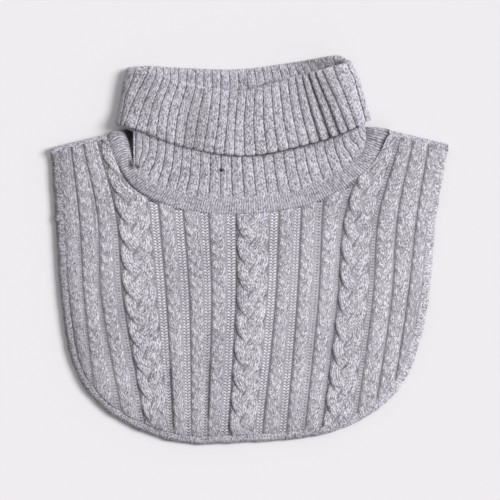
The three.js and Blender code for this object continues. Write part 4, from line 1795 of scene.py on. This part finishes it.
@dataclass
class NeckBand:
    """The plain jersey strip round the neck hole, slightly rounded across.

    Its two ends, left and right of the neck, turn down into the hollow. Pairs are the cosines of the angle
    round the neck, or the angles past the left side, between which a change starts and ends. Shades run
    from the band's face to its outer border, one for each grid row. The band's darkening is painted shade:
    along its outer border, in its ends and two small hollows, on its left part and behind its left end.
    """

    finish: bpy.types.Material
    stations: int = 900
    wale: float = 2.1
    crown: float = 1.1
    rim: float = 1.4
    overhang: float = 2.4
    inner_tuck: float = 2.6
    inner_rim: float = 2.1
    side_tuck: float = 3.9
    right_tuck: float = 4.0
    # Painted shade in two small hollows where the band meets the collar, at the right and at the left
    painted_dimple_shade: Spot = Spot(105, 102, 4.5, 7.0, 0.5)
    painted_pit_shade: Spot = Spot(-106.2, 76.4, 2.6, 4.4, 1.5)
    # Painted shade on the band's left part, turned from the light
    left_shade: float = 0.2
    roll_bow: float = 6.0
    back_rise: float = 6.0
    side_drop: float = 9.0
    side_round: float = 0.45
    side_rise: float = 3.0
    face_rows: int = 16
    face_bend: float = 3.2
    face_fullness: float = 0.7
    under: tuple[tuple[float, float], ...] = ((1, 0.4), (0.5, 0.3), (0, 0.4))
    at_end: tuple[float, float] = (0.93, 0.985)
    at_left: tuple[float, float] = (0.85, 0.95)
    past_left: tuple[float, float] = (0.04, 0.2)
    bow_from: float = 0.45
    bow_reach: float = 0.5
    counted_row: int = 4
    # Painted shade along the outer border, dotted at each stitch, in the ends' hollows and on the left part
    border_shades: tuple[float, ...] = (0.2, 0.8, 1, 1, 1)
    border_dots: float = 0.4
    hollow: tuple[float, float] = (0.75, 1.0)
    left_shades: tuple[float, ...] = (0.2, 0.6, 1, 1, 1, 1, 1)
    faces_left: tuple[float, float] = (0.45, 0.85)
    end_light: float = 0.6

    def section(self) -> list[tuple[float, float]]:
        """Lays out the strip's section, over its face and back under it.

        Returns:
            Pairs of a share of the width and a height over the underside.
        """
        section = []
        for k in range(self.face_rows + 1):
            t = k / self.face_rows
            edge = self.rim if t > 0.5 else self.inner_rim
            bulge = (1 - abs(2 * t - 1) ** self.face_bend) ** self.face_fullness
            section.append((t, edge + (KNIT - edge + self.crown) * bulge))
        return [*section, *self.under, section[0]]

    def border_mask(self, shades: tuple[float, ...], rows: int) -> np.ndarray:
        """How dark the band's face is towards its outer border.

        Args:
            shades: the last of the face's rows, from its middle outwards.
            rows: how many rows the whole section has.

        Returns:
            A column with a depth for each row.
        """
        mask = np.zeros((rows, 1))
        end = self.face_rows + 1
        mask[end - len(shades) : end, 0] = shades
        return mask

    def behind(self, angle: np.ndarray) -> np.ndarray:
        """Where the band is behind the left end, in the hollow.

        Args:
            angle: radians round the neck.

        Returns:
            A share from 0 to 1 for each angle.
        """
        return ease(-np.cos(angle), *self.at_left) * ease(angle - math.pi, *self.past_left)

    def shades(self, angle: np.ndarray, wales: np.ndarray, x: np.ndarray, y: np.ndarray) -> np.ndarray:
        """How dark the band's painted shade is at its outer border, hollows, pits and left end.

        Args:
            angle: radians round the neck.
            wales: the grid's counts of stitches.
            x: the grid's places across.
            y: the grid's places up.

        Returns:
            A depth from 0 to 1 for each vertex.
        """
        section = self.section()
        dots = 1 - self.border_dots + self.border_dots * np.cos(TURN * wales)
        bends = np.array([max(1 - t / self.side_round, 0) for t, _ in section])[:, None]
        left = ease(-np.cos(angle), *self.at_end)
        to_left = ease(-np.cos(angle), *self.faces_left) * (1 - self.end_light * left)
        left_mask = self.border_mask(self.left_shades, len(section))
        # Painted shade along the border, in the ends, two small hollows, the left part and behind the left
        # end
        masks = [
            self.border_mask(self.border_shades, len(section)) * dots,
            ease(np.abs(np.cos(angle)), *self.at_end) * ease(bends, *self.hollow),
            np.maximum(self.painted_dimple_shade.at(x, y), self.painted_pit_shade.at(x, y)),
            np.maximum(left_mask, self.left_shade) * (to_left * (np.sin(angle) > 0)),
            np.broadcast_to(self.behind(angle), x.shape),
        ]
        return np.clip(np.maximum.reduce(masks), 0, 1)

    def build(self) -> bpy.types.Object:
        """Knits the band as one closed ring.

        Returns:
            The band's piece.
        """
        angle = even_angles(np.linspace(0, 1, self.stations + 1))
        side = ease(np.abs(np.cos(angle)), *self.at_end)
        left = ease(-np.cos(angle), *self.at_end)
        right = ease(np.cos(angle), *self.at_end)
        risen = self.back_rise * self.behind(angle)
        section = self.section()
        inner = -self.inner_tuck - self.side_tuck * side - self.right_tuck * right
        outer = BAND_WIDTH + self.overhang
        points = []
        for t, up in section:
            x, y, z = band_point(angle, mix(inner, outer, t), up)
            bend = max(1 - t / self.side_round, 0)
            sunk = self.side_drop * side * (1 - math.sqrt(1 - bend * bend))
            bow = self.roll_bow * left * ((t - self.bow_from) / self.bow_reach) ** 2
            y = y + self.side_rise * side * (1 - t) - bow + risen
            points.append((x, y, np.maximum(z - sunk, RESTING)))
        x, y, z = (np.array([p[k] for p in points]) for k in range(3))
        grid = KnitGrid("neck_band_knit", self.stations, len(section) - 1)
        grid.place(x, y, z)
        steps = np.hypot(np.diff(x[self.counted_row]), np.diff(y[self.counted_row]))
        round_mm = np.concatenate([[0], np.cumsum(steps)])
        wales = np.broadcast_to(np.round(round_mm[-1] / self.wale) * round_mm / round_mm[-1], x.shape)
        across = np.array([t for t, _ in section])[:, None] * BAND_WIDTH
        grid.stitches(wales, np.broadcast_to(across / COURSE, x.shape))
        grid.mask("purl", np.zeros_like(x))
        grid.mask("painted_shade_and_stain", self.shades(angle, wales, x, y))
        closed_up(grid.mesh)
        return as_piece(grid.mesh, self.finish, "jersey_knit", "neck_band")


@dataclass
class BackBib:
    """The plain ribbed back, which lies on the table under the front.

    Its grooves are sunk below a full layer of knit, and its underside has a vertex at every few steps.
    """

    finish: bpy.types.Material
    plan: BibPlan = BACK_PLAN
    columns: int = 160
    rows: int = 120
    ribs: int = 34
    rib_height: float = 0.8
    rib_bend: float = 3
    rib_fullness: float = 0.7
    wales_per_rib: int = 3
    sunk: float = 0.6
    under_step: int = 4

    def lines(self) -> tuple[np.ndarray, np.ndarray]:
        """The grid's lines from the shoulders and the neck down to the hem.

        Returns:
            The grid's x and y.
        """
        first, last = COLUMNS[0], COLUMNS[-1]
        inset = self.plan.side_inset
        xs, ys = [], []
        for k in range(self.columns + 1):
            share = k / self.columns

            def line(y: np.ndarray) -> np.ndarray:
                """The x of this grid line at some heights.

                Args:
                    y: the heights.

                Returns:
                    The line's x at each height.
                """
                return mix(column_line(first, y) + inset, column_line(last, y) - inset, share)

            top, bottom = self.plan.span(line)
            ys.append(np.linspace(top, bottom, self.rows + 1))
            xs.append(line(ys[-1]))
        return np.array(xs).T, np.array(ys).T

    def build(self) -> bpy.types.Object:
        """Knits the back and closes it with a flat underside.

        Returns:
            The back bib's piece.
        """
        x, y = self.lines()
        place = np.linspace(0, 1, self.columns + 1) * self.ribs
        rib = rib_profile(place, self.rib_bend, self.rib_fullness)
        height = np.broadcast_to(rib * self.rib_height, x.shape)
        grid = KnitGrid("back_bib_knit", self.columns, self.rows)
        grid.place(x, y, KNIT - self.sunk + height)
        grid.stitches(np.broadcast_to(place * self.wales_per_rib, x.shape), (ROWS_FROM - y) / COURSE)
        grid.mask("purl", np.zeros_like(x))
        # Painted shade in the grooves between the ribs
        grid.mask("painted_shade_and_stain", painted_hollow_shade(height))
        step = self.under_step
        pick = np.ix_(np.arange(0, self.rows + 1, step), np.arange(0, self.columns + 1, step))
        below = KnitGrid("back_underside", self.columns // step, self.rows // step)
        below.place(x[pick], y[pick], np.zeros_like(x[pick]))
        closed_up(grid.mesh, below.mesh)
        return as_piece(grid.mesh, self.finish, "back_knit", "back_bib")


class Knot(NamedTuple):
    """A small bump on a bib's left side: its height on the bib, its reach and how far it stands out."""

    y: float
    reach: float
    size: float


class Wave(NamedTuple):
    """One of the waves that make a border uneven: how long it is for each radian, its start and its share."""

    length: float
    start: float
    share: float = 1.0

    def at(self, place: np.ndarray) -> np.ndarray:
        """The wave's height at some distances along the border.

        Args:
            place: the distances.

        Returns:
            The height at each of them.
        """
        return self.share * np.sin(place / self.length + self.start)


@dataclass
class EdgeStrip:
    """The narrow linked strip down a bib's sides and along its hem.

    Its section's heights are shares of its thickness. The droop is how far its outer border hangs below its
    inner one. Over the upper left side the inner border is open, at the full height of the bib. The unlit
    side is a direction on the table, away from the light.
    """

    finish: bpy.types.Material
    plan: BibPlan
    name: str
    node: str
    droop: float
    tuck: float = 1.4
    # Painted shade on the strip, darker towards its outer border on the sides turned from the light
    shade: float = 0.15
    border_shade: float = 0.75
    uneven: float = 0.28
    knot: Knot = Knot(28.0, 2.6, 1.4)
    smoothing: int = 6
    thick: float = 2.8
    spacing: float = 1.0
    side_steps: int = 160
    hem_steps: int = 400
    face_rows: int = 12
    face_foot: float = 0.35
    face_rise: float = 0.75
    face_bend: float = 3
    face_fullness: float = 0.6
    open_height: float = 1.15
    open_across: tuple[float, float] = (0, 50)
    open_up: tuple[float, float] = (-70, 10)
    under: tuple[tuple[float, float], ...] = ((GAP + EDGE_WIDTH - 1, 0.05), (2, 0.0))
    under_end: float = 0.1
    waves: tuple[Wave, ...] = (Wave(2.9, 0), Wave(7.7, 1), Wave(4.3, 2, 0.7))
    # Painted shade on the inner border, where the strip tucks under the bib
    inner_shades: tuple[float, ...] = (0.7, 0.35)
    outer_part: float = 0.4
    unlit_side: tuple[float, float] = (-0.8, -0.6)
    unlit: tuple[float, float] = (-0.1, 0.8)

    def path(self) -> tuple[np.ndarray, np.ndarray]:
        """The bib's border from its left shoulder down, along the hem and up to its right shoulder.

        Returns:
            The border's x and y at even steps.
        """
        inset = self.plan.side_inset
        sides = []
        for column, sign in ((COLUMNS[0], 1), (COLUMNS[-1], -1)):
            top, bottom = self.plan.span(lambda y: column_line(column, y) + sign * inset)
            y = np.linspace(top - EDGE_END, bottom, self.side_steps)
            sides.append((column_line(column, y) + sign * inset, y))
        (left_x, left_y), (right_x, right_y) = sides
        hem_x = np.linspace(left_x[-1], right_x[-1], self.hem_steps)[1:-1]
        hem_y = HEM.at(hem_x)["y"] + self.plan.hem_inset
        x = np.concatenate([left_x, hem_x, right_x[::-1]])
        y = np.concatenate([left_y, hem_y, right_y[::-1]])
        length = np.concatenate([[0], np.cumsum(np.hypot(np.diff(x), np.diff(y)))])
        even = np.linspace(0, length[-1], round(length[-1] / self.spacing) + 1)
        return np.interp(even, length, x), np.interp(even, length, y)

    def section(self, open_left: np.ndarray) -> list[tuple[float, np.ndarray | float]]:
        """Lays out the strip's section, over its face and back under it.

        Args:
            open_left: how far each station's inner border runs on into the bib, from 0 to 1.

        Returns:
            Pairs of a distance across and a height, as a share of the strip's thickness.
        """
        section = []
        for k in range(self.face_rows + 1):
            t = k / self.face_rows
            bulge = (1 - abs(2 * t - 1) ** self.face_bend) ** self.face_fullness
            up = self.face_foot + self.face_rise * bulge
            if t < 0.5:
                up = mix(up, self.open_height, open_left)
            section.append((mix(-self.tuck, GAP + EDGE_WIDTH, t), up))
        return [*section, *self.under, (-self.tuck, self.under_end), section[0]]

    def outwards(self, x: np.ndarray, y: np.ndarray) -> tuple[np.ndarray, np.ndarray]:
        """The directions that point away from the bib along its border.

        Args:
            x: the border's places across.
            y: its places up.

        Returns:
            The directions' x and y.
        """
        window = np.ones(2 * self.smoothing + 1) / (2 * self.smoothing + 1)
        padded = [np.pad(values, self.smoothing, mode="edge") for values in (x, y)]
        tx, ty = (np.gradient(np.convolve(values, window, "valid")) for values in padded)
        size = np.hypot(tx, ty)
        return ty / size, -tx / size

    def unevenness(self, length: np.ndarray, x: np.ndarray, y: np.ndarray) -> np.ndarray:
        """How far the strip's outer border stands out of its even line.

        Args:
            length: the distances along the border.
            x: its places across.
            y: its places up.

        Returns:
            The distance at each place.
        """
        short, long, middle = (wave.at(length) for wave in self.waves)
        knot = self.knot.size * np.exp(-(((y - self.knot.y) / self.knot.reach) ** 2)) * (x < 0)
        return self.uneven * (short * long + middle) + knot

    def build(self) -> bpy.types.Object:
        """Knits the strip as one closed roll.

        Returns:
            The strip's piece.
        """
        x, y = self.path()
        out_x, out_y = self.outwards(x, y)
        under = front_under(x, y) if self.plan.is_front else np.zeros_like(x)
        open_left = ease(-x, *self.open_across) * ease(y, *self.open_up)
        section = self.section(open_left)
        length = np.arange(len(x)) * self.spacing
        uneven = self.unevenness(length, x, y)
        fields = []
        for place, up in section:
            out = place + uneven * max(place, 0) / EDGE_WIDTH
            lift = np.maximum(under - self.droop * max(place, 0) / EDGE_WIDTH, RESTING)
            fields.append((x + out_x * out, y + out_y * out, lift + self.thick * up))
        fx, fy, fz = (np.array([f[k] for f in fields]) for k in range(3))
        grid = KnitGrid(self.name, len(x) - 1, len(section) - 1)
        grid.place(fx, fy, fz)
        across = np.array([place for place, _ in section])[:, None]
        grid.stitches(np.broadcast_to(length / WALE, fx.shape), np.broadcast_to(across / COURSE, fx.shape))
        grid.mask("purl", np.zeros_like(fx))
        # Painted shade on the tucked inner border and on the sides turned from the light
        inner = np.zeros((len(section), 1))
        inner[: len(self.inner_shades), 0] = self.inner_shades
        outer = ease(across, self.outer_part * EDGE_WIDTH, EDGE_WIDTH)
        away_x, away_y = self.unlit_side
        turned_away = ease(away_x * out_x + away_y * out_y, *self.unlit)
        shade = mix(self.shade, self.border_shade, outer) * turned_away[None, :]
        grid.mask("painted_shade_and_stain", np.maximum(inner * (1 - open_left), shade))
        closed_up(grid.mesh)
        return as_piece(grid.mesh, self.finish, "edge_knit", self.node)


@dataclass
class ShoulderSeam:
    """The fold of knit that links the two bibs along one shoulder."""

    finish: bpy.types.Material
    side: int
    stations: int = 60
    turns: int = 18
    into_band: float = 1.0
    crown: float = 0.9
    fullness: float = 0.7
    overlap: float = 1.6
    turn_courses: float = 0.6

    def build(self) -> bpy.types.Object:
        """Knits the seam as one closed roll.

        Returns:
            The seam's piece.
        """
        word = "left" if self.side < 0 else "right"
        side_angle = np.array([math.pi if self.side < 0 else 0.0])
        inner = abs(band_point(side_angle, BAND_WIDTH, 0)[0][0]) - self.into_band
        outer = abs(COLUMNS[0].shoulder) + EDGE_WIDTH - GAP
        x = self.side * np.linspace(inner, outer, self.stations + 1)
        top = front_under(x, shoulder_line(x)) + JERSEY + self.crown
        fx, fy, fz = [], [], []
        for k in range(self.turns + 1):
            turn = TURN * k / self.turns
            shape = np.sign(math.cos(turn)) * abs(math.cos(turn)) ** self.fullness
            depth = 0.5 + 0.5 * math.sin(turn)
            fx.append(x)
            fy.append(shoulder_line(x) - (SHOULDER["depth"] + self.overlap) * depth)
            fz.append(top * (0.5 - 0.5 * shape) if k else top * 0.0)
        fx, fy, fz = (np.array(f) for f in (fx, fy, fz))
        fz[-1] = fz[0]
        grid = KnitGrid(f"shoulder_{word}_knit", self.stations, self.turns)
        grid.place(fx, fy, np.maximum(fz, RESTING))
        courses = np.arange(self.turns + 1)[:, None] * self.turn_courses
        grid.stitches(np.abs(fx) / WALE, np.broadcast_to(courses, fx.shape))
        grid.mask("purl", np.zeros_like(fx))
        grid.mask("painted_shade_and_stain", np.zeros_like(fx))
        closed_up(grid.mesh)
        return as_piece(grid.mesh, self.finish, "edge_knit", f"shoulder_seam_{word}")


@dataclass(frozen=True)
class Studio:
    """The pale table, the soft light from the right and the camera straight above."""

    frame_mm: float = 450.0
    centre_mm: tuple[float, float] = (0.0, -0.45)
    camera_height: float = 2.4
    sensor: float = 36.0
    table_size: float = 4.0
    table_colour: tuple[float, float, float] = (0.862, 0.84, 0.864)
    table_roughness: float = 0.9
    table_specular: float = 0.1
    key_side: tuple[float, float, float] = (1.5, 0.42, 1.45)
    key_spread: float = 28.0
    key_strength: float = 2.7
    sky_strength: float = 0.42

    def floor(self) -> None:
        """Lays the pale table under the garment."""
        bm = bmesh.new()
        bmesh.ops.create_grid(bm, x_segments=1, y_segments=1, size=self.table_size)
        mesh = bpy.data.meshes.new("table")
        bm.to_mesh(mesh)
        bm.free()
        material = bpy.data.materials.new("pale table")
        material.use_nodes = True
        shader = material.node_tree.nodes["Principled BSDF"]
        shader.inputs["Base Color"].default_value = (*self.table_colour, 1)
        shader.inputs["Roughness"].default_value = self.table_roughness
        shader.inputs["Specular IOR Level"].default_value = self.table_specular
        mesh.materials.append(material)
        table = bpy.data.objects.new("table", mesh)
        bpy.context.scene.collection.objects.link(table)

    def lamp(self, name: str, place: tuple[float, float, float], spread: float, strength: float) -> None:
        """Sets one broad, even light that faces the garment.

        Args:
            name: the light's name.
            place: the side that it comes from.
            spread: how wide it is in the sky, in degrees.
            strength: its strength on a face turned to it, in watts per square metre.
        """
        light = bpy.data.lights.new(name, "SUN")
        light.angle = math.radians(spread)
        light.energy = strength
        lamp = bpy.data.objects.new(name, light)
        lamp.location = place
        lamp.rotation_euler = (-Vector(place)).to_track_quat("-Z", "Y").to_euler()
        bpy.context.scene.collection.objects.link(lamp)

    def build(self) -> None:
        """Sets the table, the lamps, the surrounding light and the camera."""
        self.floor()
        self.lamp("key", self.key_side, self.key_spread, self.key_strength)
        world = bpy.data.worlds.new("studio")
        world.use_nodes = True
        sky = world.node_tree.nodes["Background"]
        sky.inputs["Color"].default_value = (1, 1, 1, 1)
        sky.inputs["Strength"].default_value = self.sky_strength
        scene = bpy.context.scene
        scene.world = world
        scene.view_settings.view_transform = "Standard"
        data = bpy.data.cameras.new("overhead")
        data.sensor_width = self.sensor
        data.lens = self.sensor * self.camera_height / (self.frame_mm * MM)
        camera = bpy.data.objects.new("overhead", data)
        camera.location = (self.centre_mm[0] * MM, self.centre_mm[1] * MM, self.camera_height)
        scene.collection.objects.link(camera)
        scene.camera = camera


def main() -> None:
    """Builds the garment's sub-assemblies in order, then the studio."""
    logging.basicConfig(level=logging.INFO, format="%(name)s: %(message)s")
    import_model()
    stitches, marl = knit_stitch_group(), marl_group()
    finishes = (CABLE_WOOL, PLAIN_WOOL, RIB_WOOL, JERSEY_WOOL, EDGE_WOOL)
    cable, plain, rib, jersey, edge = (finish.material(stitches, marl) for finish in finishes)

    back = BackBib(plain).build()
    back_edge = EdgeStrip(edge, BACK_PLAN, "back_edge_knit", "back_edge", droop=0.0).build()
    front = FrontBib(cable).build()
    front_edge = EdgeStrip(edge, FRONT_PLAN, "front_edge_knit", "front_edge", droop=2.4).build()
    seams = [ShoulderSeam(edge, side).build() for side in (-1, 1)]
    band = NeckBand(jersey).build()
    collar = Collar(rib).build()
    Studio().build()


if __name__ == "__main__":
    main()
